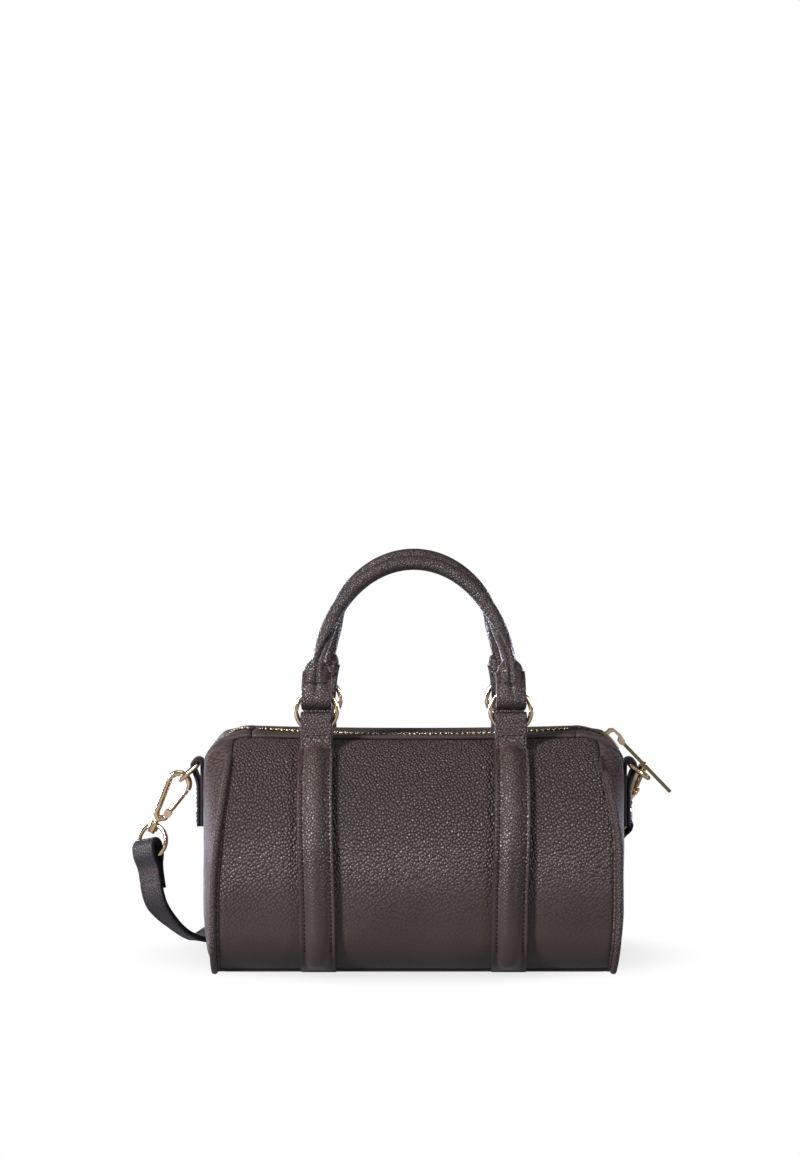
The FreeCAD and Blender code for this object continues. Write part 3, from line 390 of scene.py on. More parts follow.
def hide_panel(bm, name, material):
    """Finishes an open skin of the barrel as one panel of leather that is thick to its inside."""
    bm.normal_update()
    lean = sum(face.normal.dot(face.calc_center_median() - BARREL_MIDDLE) for face in bm.faces)
    if lean < 0:
        bmesh.ops.reverse_faces(bm, faces=bm.faces)
    piece = finish_piece(bm, name + "_leather", [material], "bag", [name])
    thicken(piece, LEATHER, -1.0)


def unit_grid(columns, rows):
    bm = bmesh.new()
    bmesh.ops.create_grid(bm, x_segments=columns, y_segments=rows, size=0.5)
    return bm


def lay_flat(bm, flat):
    """Notes for each point its place on the unrolled hide, in millimetres."""
    layer = bm.loops.layers.uv.verify()
    for vert, spot in flat.items():
        for loop in vert.link_loops:
            loop[layer].uv = spot


def reaches(points):
    """Distance of each point along a line of points."""
    reach = [0.0]
    for a, b in zip(points, points[1:]):
        reach.append(reach[-1] + (b - a).length)
    return reach


def fill_loop(bm, loop):
    rim = [bm.edges.get(pair) for pair in zip(loop, loop[1:] + loop[:1])]
    return bmesh.ops.edgeloop_fill(bm, edges=rim)["faces"]


def skin_rings(bm, rings, tints=None, capped=True):
    """Skin over closed rings of points: a grid laid over them and welded along its seam."""
    across = len(rings[0])
    along = len(rings) - 1
    made = bmesh.ops.create_grid(bm, x_segments=across, y_segments=along, size=0.5)["verts"]
    grid = {}
    for vert in made:
        grid[round((vert.co.y + 0.5) * along), round((vert.co.x + 0.5) * across)] = vert
    middle = rings[len(rings) // 2]
    round_reach = reaches(middle + middle[:1])
    long_reach = reaches([ring[0] for ring in rings])
    for (row, column), vert in grid.items():
        vert.co = rings[row][column % across]
    lay_flat(bm, {vert: (round_reach[column], long_reach[row]) for (row, column), vert in grid.items()})
    if tints:
        for row, (column, tint) in product(range(along), enumerate(tints)):
            corner = set(grid[row, column].link_faces) & set(grid[row + 1, column + 1].link_faces)
            corner.pop().material_index = tint
    bmesh.ops.weld_verts(bm, targetmap={grid[row, across]: grid[row, 0] for row in range(along + 1)})
    ends = [[grid[row, column] for column in range(across)] for row in (0, along)]
    if capped:
        for end in ends:
            for face in fill_loop(bm, end):
                face.material_index = max(tints) if tints else 0
    return ends


def skinned(sets, tints=None, capped=True):
    """One closed mesh with a skin over each set of rings."""
    bm = bmesh.new()
    for rings in sets:
        skin_rings(bm, rings, tints, capped)
    solid_normals(bm)
    return bm


def soften(points, rounds, closed=True):
    """Cuts the corners of an outline or line, so that it turns smoothly."""
    for _ in range(rounds):
        cut = [] if closed else [points[0]]
        for a, b in zip(points, points[1:] + (points[:1] if closed else [])):
            for share in (0.25, 0.75):
                cut.append(tuple((1 - share) * p + share * q for p, q in zip(a, b)))
        points = cut if closed else cut + [points[-1]]
    return points


def arc(across, high, radius, start, stop, steps):
    """Points round an arc, its two ends included."""
    turns = [start + (stop - start) * index / steps for index in range(steps + 1)]
    return [(across + radius * math.cos(turn), high + radius * math.sin(turn)) for turn in turns]


def circle(radius, count):
    return arc(0.0, 0.0, radius, 0.0, 2 * math.pi, count)[:-1]


def strap_outline(width, thick):
    """Flat strap with rounded edges: points and which edge of the outline is painted."""
    half = width / 2
    low = thick / 2
    bend = min(0.8, low * 0.8)
    turn = 0.29 * bend
    flat = half - bend - 1.0
    points = [
        (-flat, low), (0.0, low), (flat, low),
        (half - bend, low), (half - turn, low - turn), (half, low - bend),
        (half, bend - low), (half - turn, turn - low), (half - bend, -low),
    ]
    tints = [0] * 3 + [1] * 5 + [0]
    return points + [(-a, -b) for a, b in points], tints * 2


def ring_at(place, across, up, outline):
    """Ring of an outline carried to a station along a line: its place, and the ways across and up there."""
    return [place + across * a + up * b for a, b in outline]


def ways(line):
    """Direction of a line at each of its points."""
    return [(b - a).normalized() for a, b in zip(line[:1] + line[:-1], line[1:] + line[-1:])]


def strap_frames(line, widths):
    """Stations along a line, each as near to the wanted width direction as the line allows."""
    frames = []
    for place, way, width in zip(line, ways(line), widths):
        across = (width - way * width.dot(way)).normalized()
        frames.append((place, across, across.cross(way).normalized()))
    return frames


def strap_skin(frames, width, thick):
    outline, tints = strap_outline(width, thick)
    return skinned([[ring_at(*station, outline) for station in frames]], tints)


def template(bm):
    """Keeps a small mesh as a pattern to be stamped."""
    mesh = bpy.data.meshes.new("template")
    bm.to_mesh(mesh)
    bm.free()
    return mesh


def bevelled(bm, offset, segments):
    bmesh.ops.bevel(
        bm, geom=bm.edges[:], offset=offset, segments=segments, profile=0.5, affect="EDGES", material=-1
    )
    return template(bm)


def stamp(bm, mesh, matrix):
    """Adds one copy of a small mesh to a piece."""
    copy = mesh.copy()
    copy.transform(matrix)
    bm.from_mesh(copy)
    bpy.data.meshes.remove(copy)


bead = bmesh.new()
bmesh.ops.create_uvsphere(bead, u_segments=6, v_segments=5, radius=1.0)
BEAD = template(bead)

# Stitches: length, width and height of each, and how far they slant
STITCH = (1.7, 0.75, 0.7)
STITCH_SLANT = 0.12


def stitch(bm, place, along, up, size):
    along = along.normalized()
    along = (along + up.cross(along).normalized() * STITCH_SLANT).normalized()
    across = up.cross(along).normalized()
    turn = Matrix((along, across, along.cross(across))).transposed().to_4x4()
    stamp(bm, BEAD, Matrix.Translation(place) @ turn @ Matrix.Diagonal((*(length / 2 for length in size), 1)))


def stitch_line(bm, points, ups, pitch, size=STITCH):
    """Stitches at even steps along a line of points, with one normal for all or one for each."""
    if isinstance(ups, Vector):
        ups = [ups] * len(points)
    reach = reaches(points)
    count = max(1, int(reach[-1] / pitch))
    step = reach[-1] / count
    index = 0
    for number in range(count):
        target = (number + 0.5) * step
        while index < len(points) - 2 and reach[index + 1] < target:
            index += 1
        share = (target - reach[index]) / max(1e-6, reach[index + 1] - reach[index])
        place = points[index].lerp(points[index + 1], share)
        up = ups[index].lerp(ups[index + 1], share)
        stitch(bm, place, points[index + 1] - points[index], up.normalized(), size)


def sewn(name, lines, material, body=None):
    """One piece of stitches along lines of (points, normals, pitch), with a size where it isn't the usual."""
    bm = bmesh.new()
    for line in lines:
        stitch_line(bm, *line)
    return finish_piece(bm, name, [material], body)


# Form of the barrel
ARC_END = SHOULDER_R * math.pi / 2
SIDE_END = ARC_END + AXIS_Z - BASE_CORNER
CORNER_END = SIDE_END + BASE_CORNER * math.pi / 2
BASE_HALF = SHOULDER_R - BASE_CORNER
BASE_END = CORNER_END + BASE_HALF
TOP_S = SHOULDER_R * math.asin(PANEL_EDGE_Y / SHOULDER_R)
BASE_S = SIDE_END + BASE_CORNER * math.asin((BASE_CORNER - BASE_SEAM_Z) / BASE_CORNER)
SEAM_FOOT_S = SIDE_END - 14


def section(s):
    """Cross-section at a distance s down from the crown: out, height, and the normal's two parts."""
    if s < ARC_END:
        n_out = math.sin(s / SHOULDER_R)
        n_high = math.cos(s / SHOULDER_R)
        return SHOULDER_R * n_out, AXIS_Z + SHOULDER_R * n_high, n_out, n_high
    if s < SIDE_END:
        return SHOULDER_R, AXIS_Z - (s - ARC_END), 1.0, 0.0
    if s < CORNER_END:
        n_out = math.cos((s - SIDE_END) / BASE_CORNER)
        n_high = -math.sin((s - SIDE_END) / BASE_CORNER)
        return BASE_HALF + BASE_CORNER * n_out, BASE_CORNER + BASE_CORNER * n_high, n_out, n_high
    return BASE_HALF - (s - CORNER_END), 0.0, 0.0, -1.0


def smooth(value, low, high):
    share = min(1.0, max(0.0, (value - low) / (high - low)))
    return share * share * (3 - 2 * share)


def seam_x(s, end):
    """Place of the end seams, which lean in towards the top and a little towards the base."""
    shift, upright, foot = RIGHT_SEAM if end > 0 else LEFT_SEAM
    lean = SEAM_LEAN * (1 - smooth(s, SEAM_LEAN_S, upright)) + foot * smooth(s, SEAM_FOOT_S, BASE_S)
    return SEAM_X + shift - lean


CORNER_X = END_X - TOP_CORNER
CORNER_Z = BODY_HEIGHT - TOP_CORNER
ZIP_END_TURN = math.acos((ZIP_END_Z - CORNER_Z) / TOP_CORNER)


def corner_turn(x):
    return math.asin(min(1.0, max(0.0, abs(x) - CORNER_X) / TOP_CORNER))


def zip_sag(x):
    return SAG * max(0.0, 1 - (x / SAG_HALF)**2)


def top_drop(x, share):
    """How far the top lies under the barrel's height: a share of the zip's sag, and the upper corners."""
    return share * zip_sag(x) + TOP_CORNER * (1 - math.cos(corner_turn(x)))


def crown_z(x):
    return BODY_HEIGHT - top_drop(x, 1.0)


def bell(distance, width, height=1.0):
    return height * math.exp(-(distance / width)**2)


def hump(distance, middle, half, height):
    return height * max(0.0, 1 - ((distance - middle) / half)**2)


# Relief of the panels and base strip: width and depth of the pull at each seam, and middle, half width
# and height of each swell
END_PULL = (2.0, 1.6)
TOP_PULL = (1.5, 1.5)
BASE_PULL = (2.0, 0.9)
STRIP_PULL = (1.6, 0.7)
STRIP_END_PULL = (2.5, 0.5)
MIDDLE_SWELL = (0.0, 41.0, 0.9)
OUTER_SWELL = (78.5, 19.5, 0.7)
RIPPLE = 0.3
CHAPE_CLEAR = (9.0, 16.0)
SLUMP_END_S = 80.0


def panel_swell(x, s, side):
    pull = bell(seam_x(s, x) - abs(x), *END_PULL) + bell(s - TOP_S, *TOP_PULL) + bell(BASE_S - s, *BASE_PULL)
    belly = math.sin(math.pi * min(1.0, max(0.0, (s - TOP_S) / (BASE_S - TOP_S))))
    swell = belly * (hump(abs(x), *MIDDLE_SWELL) + hump(abs(x), *OUTER_SWELL))
    clear = smooth(abs(abs(x) - RING_X), *CHAPE_CLEAR)
    return swell - pull + RIPPLE * clear * noise.noise(Vector((x / 24, s / 20, side * 3.7)))


def slump(x, s):
    """How far the upper part of the barrel hangs below its plain form."""
    return top_drop(x, EDGE_SAG) * (1 - smooth(s, TOP_S, SLUMP_END_S))


def barrel_point(x, s, side, lift):
    """Point at a lift over the barrel's form."""
    out, high, n_out, n_high = section(s)
    return Vector((x, side * (out + n_out * lift), high + n_high * lift - slump(x, s)))


# Front and rear panels
def body_panel(name, side):
    bm = unit_grid(150, 104)
    flat = {}
    for vert in bm.verts:
        s = TOP_S + (vert.co.y + 0.5) * (BASE_S - TOP_S)
        x = 2 * vert.co.x * (seam_x(s, vert.co.x) - SEAM_GAP)
        flat[vert] = (x, s)
        vert.co = barrel_point(x, s, side, panel_swell(x, s, side))
    lay_flat(bm, flat)
    hide_panel(bm, name, BODY_HIDE)


for row, side_y in ROWS:
    body_panel(row + "_panel", side_y)


# Base: one strip under the barrel between the two base seams
def base_skin():
    bm = unit_grid(120, 60)
    for vert in bm.verts:
        edge = seam_x(BASE_END, vert.co.x)
        x = 2 * vert.co.x * (edge - SEAM_GAP)
        side = -1 if vert.co.y < 0 else 1
        s = BASE_END - 2 * abs(vert.co.y) * (BASE_END - BASE_S)
        pull = bell(s - BASE_S, *STRIP_PULL) + bell(edge - abs(x), *STRIP_END_PULL)
        vert.co = barrel_point(x, s, side, -pull)
    lay_flat(bm, {vert: (vert.co.x, vert.co.y) for vert in bm.verts})
    hide_panel(bm, "base_panel", BODY_HIDE)


base_skin()

# End panels: rings from the piped seam in to the middle, domed, with a notch for the zip band
END_MIDDLE_Z = 58.0
END_POINTS = 144
END_RINGS = 34
END_SPACING = 1.15
END_TUCK = 0.6
END_PIPED_S = (26.0, 46.0)
END_FLAT = 2.4
END_RISE = (1.6, 2.8)
END_RIPPLE = 0.35
BESIDE_BAND_Y = 17.6
BESIDE_BAND_PULL = (1.4, 0.5)
LOW_DENT_Z = 14.0
LOW_DENT_PULL = (9.0, 0.9)
NOTCH_HALF = 15.6
NOTCH_Z = ZIP_END_Z + 0.2


def soft_min(a, b, blend):
    share = max(0.0, blend - abs(a - b)) / blend
    return min(a, b) - share * share * blend / 4


def dome_x(y, z):
    bulge = END_X - BULGE_R + math.sqrt(BULGE_R**2 - y * y)
    if z <= CORNER_Z:
        return bulge
    return soft_min(bulge, CORNER_X + math.sqrt(max(0.0, TOP_CORNER**2 - (z - CORNER_Z)**2)), 2.0)


def outline_loop(count, end):
    """Outline of one end at its seam: across, height, and the distance down from the crown."""
    loop = []
    for index in range(count):
        share = 2 * (index + 0.5) / count
        side = -1 if share < 1 else 1
        s = BASE_END * (share if share < 1 else 2 - share)
        out, high, _, _ = section(s)
        loop.append((side * out, high - slump(end * seam_x(s, end), s), s))
    return loop


def end_skin(name, side):
    bm = bmesh.new()
    seam_loop = outline_loop(END_POINTS, side)
    rings = []
    for number in range(END_RINGS):
        share = 1 - (number / END_RINGS)**END_SPACING
        ring = []
        for y, z, s in seam_loop:
            seam = seam_x(s, side) - END_TUCK
            piped = smooth(s, *END_PIPED_S)
            at_y = y * share
            at_z = END_MIDDLE_Z + (z - END_MIDDLE_Z) * share
            inset = math.hypot(y, z - END_MIDDLE_Z) * (1 - share)
            rise = 1 - math.exp(-max(0.0, inset - END_FLAT * piped) / (END_RISE[0] + END_RISE[1] * piped))
            ripple = END_RIPPLE * noise.noise(Vector((at_y / 21, at_z / 17, side * 5.1)))
            dent = bell(at_z - LOW_DENT_Z - 0.12 * abs(at_y), *LOW_DENT_PULL) * smooth(abs(at_y), 4, 30)
            x = seam + rise * (dome_x(at_y, at_z) - seam + ripple - dent)
            high = smooth(at_z, ZIP_END_Z - 3, ZIP_END_Z + 3)
            x -= high * bell(abs(at_y) - BESIDE_BAND_Y, *BESIDE_BAND_PULL)
            ring.append(Vector((side * x, at_y, at_z)))
        rings.append(ring)
    fill_loop(bm, skin_rings(bm, rings, capped=False)[1])
    for place, way in ((-NOTCH_HALF, AX_Y), (NOTCH_HALF, AX_Y), (NOTCH_Z, AX_Z)):
        geom = bm.verts[:] + bm.edges[:] + bm.faces[:]
        bmesh.ops.bisect_plane(bm, geom=geom, dist=0.01, plane_co=way * place, plane_no=way)
    notch = []
    for face in bm.faces:
        centre = face.calc_center_median()
        if abs(centre.y) < NOTCH_HALF and centre.z > NOTCH_Z:
            notch.append(face)
    bmesh.ops.delete(bm, geom=notch, context="FACES")
    flat = {}
    for vert in bm.verts:
        over = min(1.0, max(0.0, vert.co.z - CORNER_Z) / TOP_CORNER)
        flat[vert] = (vert.co.y, min(vert.co.z, CORNER_Z) + TOP_CORNER * math.asin(over))
    lay_flat(bm, flat)
    hide_panel(bm, name, END_HIDE)


for end, side_x in ENDS:
    end_skin(end + "_end_panel", side_x)

# Piping: covered cord along each end seam, tucked under the band above and turned in below. It starts
# higher at the left end (-1) than at the right (1).
PIPING_R = 1.75
PIPING_PROUD = 0.75
PIPING_TOP_S = {-1: 32.0, 1: 43.0}
PIPING_FOOT_S = BASE_S + 2.5
PIPING_STEPS = 110
PIPING_OUT = 0.3
PIPING_TOP_TUCK = 2.4
PIPING_FOOT_TUCK = 1.2
PIPING_SLIM = 0.55


def end_piping(name, side_x):
    start = PIPING_TOP_S[side_x]
    cords = []
    for side_y in (-1, 1):
        rings = []
        for index in range(PIPING_STEPS + 1):
            share = index / PIPING_STEPS
            s = start + (PIPING_FOOT_S - start) * share
            tuck = PIPING_TOP_TUCK * (1 - smooth(s, start, start + 7))
            tuck += PIPING_FOOT_TUCK * smooth(s, BASE_S - 1, PIPING_FOOT_S)
            x = side_x * (seam_x(s, side_x) + PIPING_OUT)
            place = barrel_point(x, s, side_y, PIPING_PROUD - tuck)
            _, _, n_out, n_high = section(s)
            up = Vector((0, side_y * n_out, n_high))
            full = smooth(share, 0.0, 0.02) * (1 - smooth(share, 0.985, 1.0))
            radius = PIPING_R * (PIPING_SLIM + (1 - PIPING_SLIM) * full)
            rings.append(ring_at(place, AX_X, up, circle(radius, 12)))
        cords.append(rings)
    finish_piece(skinned(cords), name + "_leather", [PIPING_HIDE], "bag", [name])


for end, side_x in ENDS:
    end_piping(end + "_end_piping", side_x)

# Zip band: rolled leather facings each side of the tape, moving lips on top and fixed corners. A corner's
# lift sets in between the two heights of WELT on an outline.
FACING = soften([
    (6.0, -1.3), (6.2, -0.4), (8.5, -0.5), (12.0, -0.8), (15.0, -1.1), (17.0, -1.6),
    (17.6, -2.9), (16.8, -4.1), (13.0, -3.0), (9.0, -2.1), (6.0, -1.8),
], 2)
TAPE_STRIP = [
    (1.15, -1.25), (5.0, -1.35), (9.0, -1.75), (13.5, -2.7),
    (13.5, -3.4), (9.0, -2.5), (5.0, -2.1), (1.15, -2.0),
]
BAND_STITCH = (8.1, -0.62)
BAND_PITCH = 2.6
WELT = (-4.1, -1.9)
STOP_TURN = ZIP_END_TURN - 2.0 / TOP_CORNER
LIP_STEPS = 56
CORNER_STEPS = 32


def crown_station(x, side_y):
    turn = math.copysign(corner_turn(x), x)
    up = Vector((math.sin(turn), 0, math.cos(turn)))
    return Vector((x, 0, crown_z(x))), AX_Y * side_y, up


def top_stations(side_y):
    places = [LIP_END * (2 * index / LIP_STEPS - 1) for index in range(LIP_STEPS + 1)]
    return [crown_station(x, side_y) for x in places]


def corner_place(side_x, turn):
    """Place and normal of the zip's line at a turn down one corner. It lies deeper away from the slider."""
    up = Vector((side_x * math.sin(turn), 0, math.cos(turn)))
    sink = CORNER_SINK * smooth(1 - up.z, *CORNER_BEND) if side_x < 0 else 0.0
    return Vector((side_x * CORNER_X, 0, CORNER_Z)) + up * (TOP_CORNER - sink), up


def corner_stations(side_x, side_y):
    """Stations down one corner, from the end of the lips to where the band dips under the end panel."""
    first = side_x * (LIP_END + LIP_GAP)
    start = corner_turn(first)
    stations = [crown_station(first, side_y)]
    last = ZIP_END_TURN + BAND_TUCK / TOP_CORNER
    for index in range(1, CORNER_STEPS + 1):
        turn = start + (last - start) * index / CORNER_STEPS
        place, up = corner_place(side_x, turn)
        stations.append((place - up * (BAND_DIP * smooth(turn, STOP_TURN, last)), AX_Y * side_y, up))
    return stations


def sagged(outline, stations):
    """Rings of the band: its edges follow the zip's sag less, and stand up where it turns down a corner."""
    rings = []
    for place, across, up in stations:
        relief = (1 - EDGE_SAG) * zip_sag(place.x)
        welt = CORNER_LIFT[place.x > 0] * smooth(1 - up.z, *CORNER_BEND)
        ring = []
        for a, b in outline:
            lift = relief + welt * smooth(b, *WELT)
            ring.append(place + across * a + up * (b + lift * (a / BAND_HALF)**2))
        rings.append(ring)
    return rings


def band_pieces(stem, body, runs, facing_name, plural=""):
    """Facing, tape and stitches over one or more runs of stations along the zip."""
    facing = skinned([sagged(FACING, run) for run in runs])
    finish_piece(facing, facing_name, [BAND_HIDE], body, [stem + "_facing" + plural])
    tape = skinned([sagged(TAPE_STRIP, run) for run in runs])
    finish_piece(tape, stem + "_tape_cloth", [TAPE], body, [stem + "_tape" + plural])
    lines = []
    for run in runs:
        points = [ring[0] for ring in sagged([BAND_STITCH], run)]
        lines.append((points, [up for _, _, up in run], BAND_PITCH))
    sewn(stem + "_stitches", lines, THREAD, body)


for row, side_y in ROWS:
    lip = row + "_lip"
    band_pieces(lip, lip, [top_stations(side_y)], lip + "_facing_leather")
for end, side_x in ENDS:
    corner = end + "_corner"
    runs = [corner_stations(side_x, side_y) for side_y in (-1, 1)]
    band_pieces(corner, "bag", runs, corner + "_leather", "s")

# Zip teeth: clamps with a lower head (width, height), the two rows half a pitch apart
TEETH_HALF = 82.5
TOOTH_HEAD = (1.15, 2.1)
TOOTH_FOOT = (1.0, 2.9)
TOOTH_LONG = 2.9
TOOTH_OUT = 1.15
TOOTH_SINK = 0.95
TOOTH_BEVEL = 0.22
STOP_SIZE = (1.8, 5.2, 1.9)
STOP_SINK = 0.9
STOP_BEVEL = 0.35


def tooth_shape():
    bm = bmesh.new()
    bmesh.ops.create_cube(bm, size=1.0)
    for vert in bm.verts:
        x, y, z = vert.co
        wide, high = TOOTH_HEAD if y < 0 else TOOTH_FOOT
        vert.co = Vector((x * wide, TOOTH_OUT + y * TOOTH_LONG, z * high - TOOTH_SINK))
    return bevelled(bm, TOOTH_BEVEL, 1)


TOOTH = tooth_shape()


def teeth_piece(name, body, places):
    bm = bmesh.new()
    for place, side in places:
        stamp(bm, TOOTH, place @ Matrix.Diagonal((1, side, 1, 1)))
    bmesh.ops.recalc_face_normals(bm, faces=bm.faces)
    finish_piece(bm, name + "_metal", [TOOTH_GOLD], body, [name])


def lip_teeth(lip, side):
    count = int(2 * TEETH_HALF / TOOTH_PITCH)
    places = []
    for index in range(count):
        x = (index - (count - 1) / 2 + side / 4) * TOOTH_PITCH
        places.append((Matrix.Translation((x, 0, crown_z(x))), side))
    teeth_piece(lip + "_teeth", lip, places)


for row, side_y in ROWS:
    lip_teeth(row + "_lip", side_y)


def left_corner_teeth():
    step = TOOTH_PITCH / TOP_CORNER / 2
    start = corner_turn(-LIP_END) + step
    places = []
    for index in range(int((ZIP_END_TURN - start) / step) - 1):
        turn = start + step * index
        place, _ = corner_place(-1, turn)
        side = 1 if index % 2 else -1
        places.append((Matrix.Translation(place) @ Matrix.Rotation(-turn, 4, "Y"), side))
    teeth_piece("left_corner_teeth", "bag", places)


left_corner_teeth()


# Bottom stops: one bevelled bar across both tapes at each end of the zip
def end_stops():
    bm = bmesh.new()
    bmesh.ops.create_cube(bm, size=1.0)
    bmesh.ops.scale(bm, vec=STOP_SIZE, verts=bm.verts)
    bar = bevelled(bm, STOP_BEVEL, 2)
    bm = bmesh.new()
    for side in (-1, 1):
        place, up = corner_place(side, STOP_TURN)
        turn = Matrix.Rotation(side * STOP_TURN, 4, "Y")
        stamp(bm, bar, Matrix.Translation(place - up * STOP_SINK) @ turn)
    finish_piece(bm, "zip_end_stops_metal", [GOLD], "bag", ["zip_end_stops"])


end_stops()

# Chapes: ribbed straps up the panels that run on into a loop through each ring
CHAPE_W = 18.2
CHAPE_T = 3.2
LOOP_W = 16.4
LOOP_T = 2.0
CHAPE_LEAVE_S = 33.0
CHAPE_DRAW = 2.2
CHAPE_DRAW_HEIGHTS = (15.0, 112.0)
CHAPE_FOOT_S = BASE_S - 0.5
CHAPE_STEPS = 59
CHAPE_LIFT = CHAPE_T / 2 + 0.15
RING_LOOP_R = 2.55
CROSS_ROW_Z = 119.0
RIB_TOP = (108.0, 117.0)
RIB_HEIGHT = 2.6
RIB_HALF = 5.2
STITCH_IN = 6.7
STITCH_GROOVE = (0.9, 0.7)
CROSS_ROW_IN = STITCH_IN - 1
CROSS_ROW_DENT = (0.9, 0.3)
FIRST_STITCH = 8
CHAPE_PITCH = 2.2
CROSS_PITCH = 2.3
STITCH_SINK = 0.45
CROSS_SINK = 0.15
RIB_START = (0.5, 7.0)
FOOT_STEPS = 7
FOOT_SINK = 1.4
LOOP_STEPS = 9
LOOP_TOP_Z = 127.5
FACE_POINTS = 25


def chape_rib(a):
    """Padded rib along the middle of a chape and the grooves its stitches lie in."""
    return RIB_HEIGHT * hump(a, 0.0, RIB_HALF, 1.0)**0.8 - bell(abs(a) - STITCH_IN, *STITCH_GROOVE)


def ribbed_outline(relief, share, width, thick):
    """Strap outline: flat back, rounded painted edges and a relief across the face."""
    half = width / 2
    face = thick / 2
    top = []
    for index in range(FACE_POINTS):
        a = -half + 0.6 + (width - 1.2) * index / (FACE_POINTS - 1)
        top.append((a, face + share * relief(a)))
    right = [(half - 0.15, face - 0.35), (half, face - 0.9), (half, 0.7 - face), (half - 0.5, -face)]
    return top + right + [(-a, b) for a, b in reversed(right)]


RIBBED_TINTS = [0] * (FACE_POINTS - 1) + [1] * 4 + [0] + [1] * 4


def chape_line():
    """Line of the strap's middle layer up the panel, in the plane across the bag: (out, height)."""
    points = []
    for index in range(CHAPE_STEPS + 1):
        s = CHAPE_FOOT_S - (CHAPE_FOOT_S - CHAPE_LEAVE_S) * index / CHAPE_STEPS
        point = barrel_point(RING_X, s, 1, CHAPE_LIFT)
        points.append((point.y, point.z))
    return points


def loop_line():
    """Line of the strap from the panel up round the foot of a ring."""
    front = RING_Y + RING_LOOP_R
    back = RING_Y - RING_LOOP_R
    rise = [(front + 2.6, 112.9), (front + 0.5, 114.9), (front, 117.6), (front, 127.2)]
    over = arc(RING_Y, LOOP_TOP_Z, RING_LOOP_R, 0.0, math.pi, 12)[1:-1]
    return rise + over + [(back, 127.2), (back, 118.0), (back + 0.4, 114.6)]


def chape_stations(side_x, side_y):
    """Stations along one chape, and how many points of its line lie on the panel."""
    flat = chape_line()
    line = flat[:-2] + soften(flat[-2:] + loop_line(), 2, closed=False)[1:]
    middle = [Vector((0, side_y * out, high)) for out, high in line]
    stations = []
    for place, way in zip(middle, ways(middle)):
        x = RING_X - CHAPE_DRAW * (1 - smooth(place.z, *CHAPE_DRAW_HEIGHTS))
        stations.append((place + AX_X * (side_x * x), AX_X, Vector((0, way.z, -way.y)) * side_y))
    return stations, len(flat)


def chape(name, side_x, side_y):
    stations, flat_count = chape_stations(side_x, side_y)
    heights = [place.z for place, _, _ in stations]
    turn_over = heights.index(max(heights))
    cross_row = min(range(turn_over), key=lambda index: abs(heights[index] - CROSS_ROW_Z))
    rings = []
    seams = []
    for index, (place, across, up) in enumerate(stations):
        outside = index < turn_over
        rib = smooth(index, *RIB_START) * (1 - smooth(place.z, *RIB_TOP)) * outside
        thin = smooth(index, flat_count - 1, flat_count - 1 + LOOP_STEPS)
        under = 1 - smooth(index, 0, FOOT_STEPS)
        width = CHAPE_W + (LOOP_W - CHAPE_W) * thin
        thick = CHAPE_T + (LOOP_T - CHAPE_T) * max(thin, under)
        thick -= bell(place.z - CROSS_ROW_Z, *CROSS_ROW_DENT) * outside
        outline = ribbed_outline(chape_rib, rib, width, thick)
        rings.append(ring_at(place - up * (FOOT_SINK * under), across, up, outline))
        seams.append((place + up * (CHAPE_T / 2 - (CHAPE_T - LOOP_T) / 4 * thin), across, up))
    strap = finish_piece(
        skinned([rings], RIBBED_TINTS), name + "_chape_strap", [TRIM_HIDE, EDGE], None,
        [name + "_chape", name + "_chape_loop"],
    )
    rows = seams[FIRST_STITCH:cross_row + 1]
    lines = []
    for a in (-STITCH_IN, STITCH_IN):
        points = [place + across * a - up * STITCH_SINK for place, across, up in rows]
        lines.append((points, [up for _, _, up in rows], CHAPE_PITCH))
    place, across, up = rows[-1]
    cross = [place + across * a - up * CROSS_SINK for a in (-CROSS_ROW_IN, 0, CROSS_ROW_IN)]
    lines.append((cross, up, CROSS_PITCH))
    stitches = sewn(name + "_chape_stitches", lines, THREAD)
    for soft in (strap, stitches):
        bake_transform(soft)


for (row, side_y), (end, side_x) in product(ROWS, ENDS):
    chape(row + "_" + end, side_x, side_y)

# Rolled handles: one sewn roll over the arch that widens into folded tabs round the rings
FOLD_R = 4.2
FOLD_Z = -4.85
TAB_HALF = 7.6
TAB_TOP = 14.6
SHOULDER_DROP = 6.5
LEG_FOOT = 3.2
REAR_PINCH = 3.6
CORE_R = 2.4
CORE_FOOT = 9.0
HANDLE_STEPS = 100
PINCH_Z = 20.0
PINCH_WIDTH = 18.0
TAB_THIN = 2.0
TAB_PAD = 2.7
RIDGE_HEIGHT = 1.3
RIDGE_HALF = 5.6
SEAM_TURN = math.radians(94)
SEAM_TURN_HEIGHTS = (12.0, 46.0)
SEAM_START = (8.0, 18.0)
SEAM_FADE = (28.0, 44.0)
SEAM_GROOVE = (0.8, 1.0)
SEAM_LIPS = (1.2, 0.6)
SEAM_LIP_OUT = 2.3
RIDGE_GROOVE = (1.0, 1.6)
ROLL_POINTS = 96
TAB_STITCH_IN = 1.5
TAB_STITCH_PITCH = 2.2
TACK = (2.4, 0.9, 0.8)
TACK_IN = 1.3
TACK_HEIGHTS = (2.6, 3.5, 4.4)
FOLD_T = 2.0


def leg_x(z, pinch):
    """Distance of a handle's line from the bag's middle: an upright half ellipse, drawn in by a pinch."""
    share = min(1.0, max(0.0, z - LEG_FOOT) / (HANDLE_RISE - LEG_FOOT))
    return RING_X * math.sqrt(1 - share * share) - bell(z - PINCH_Z, PINCH_WIDTH, pinch)


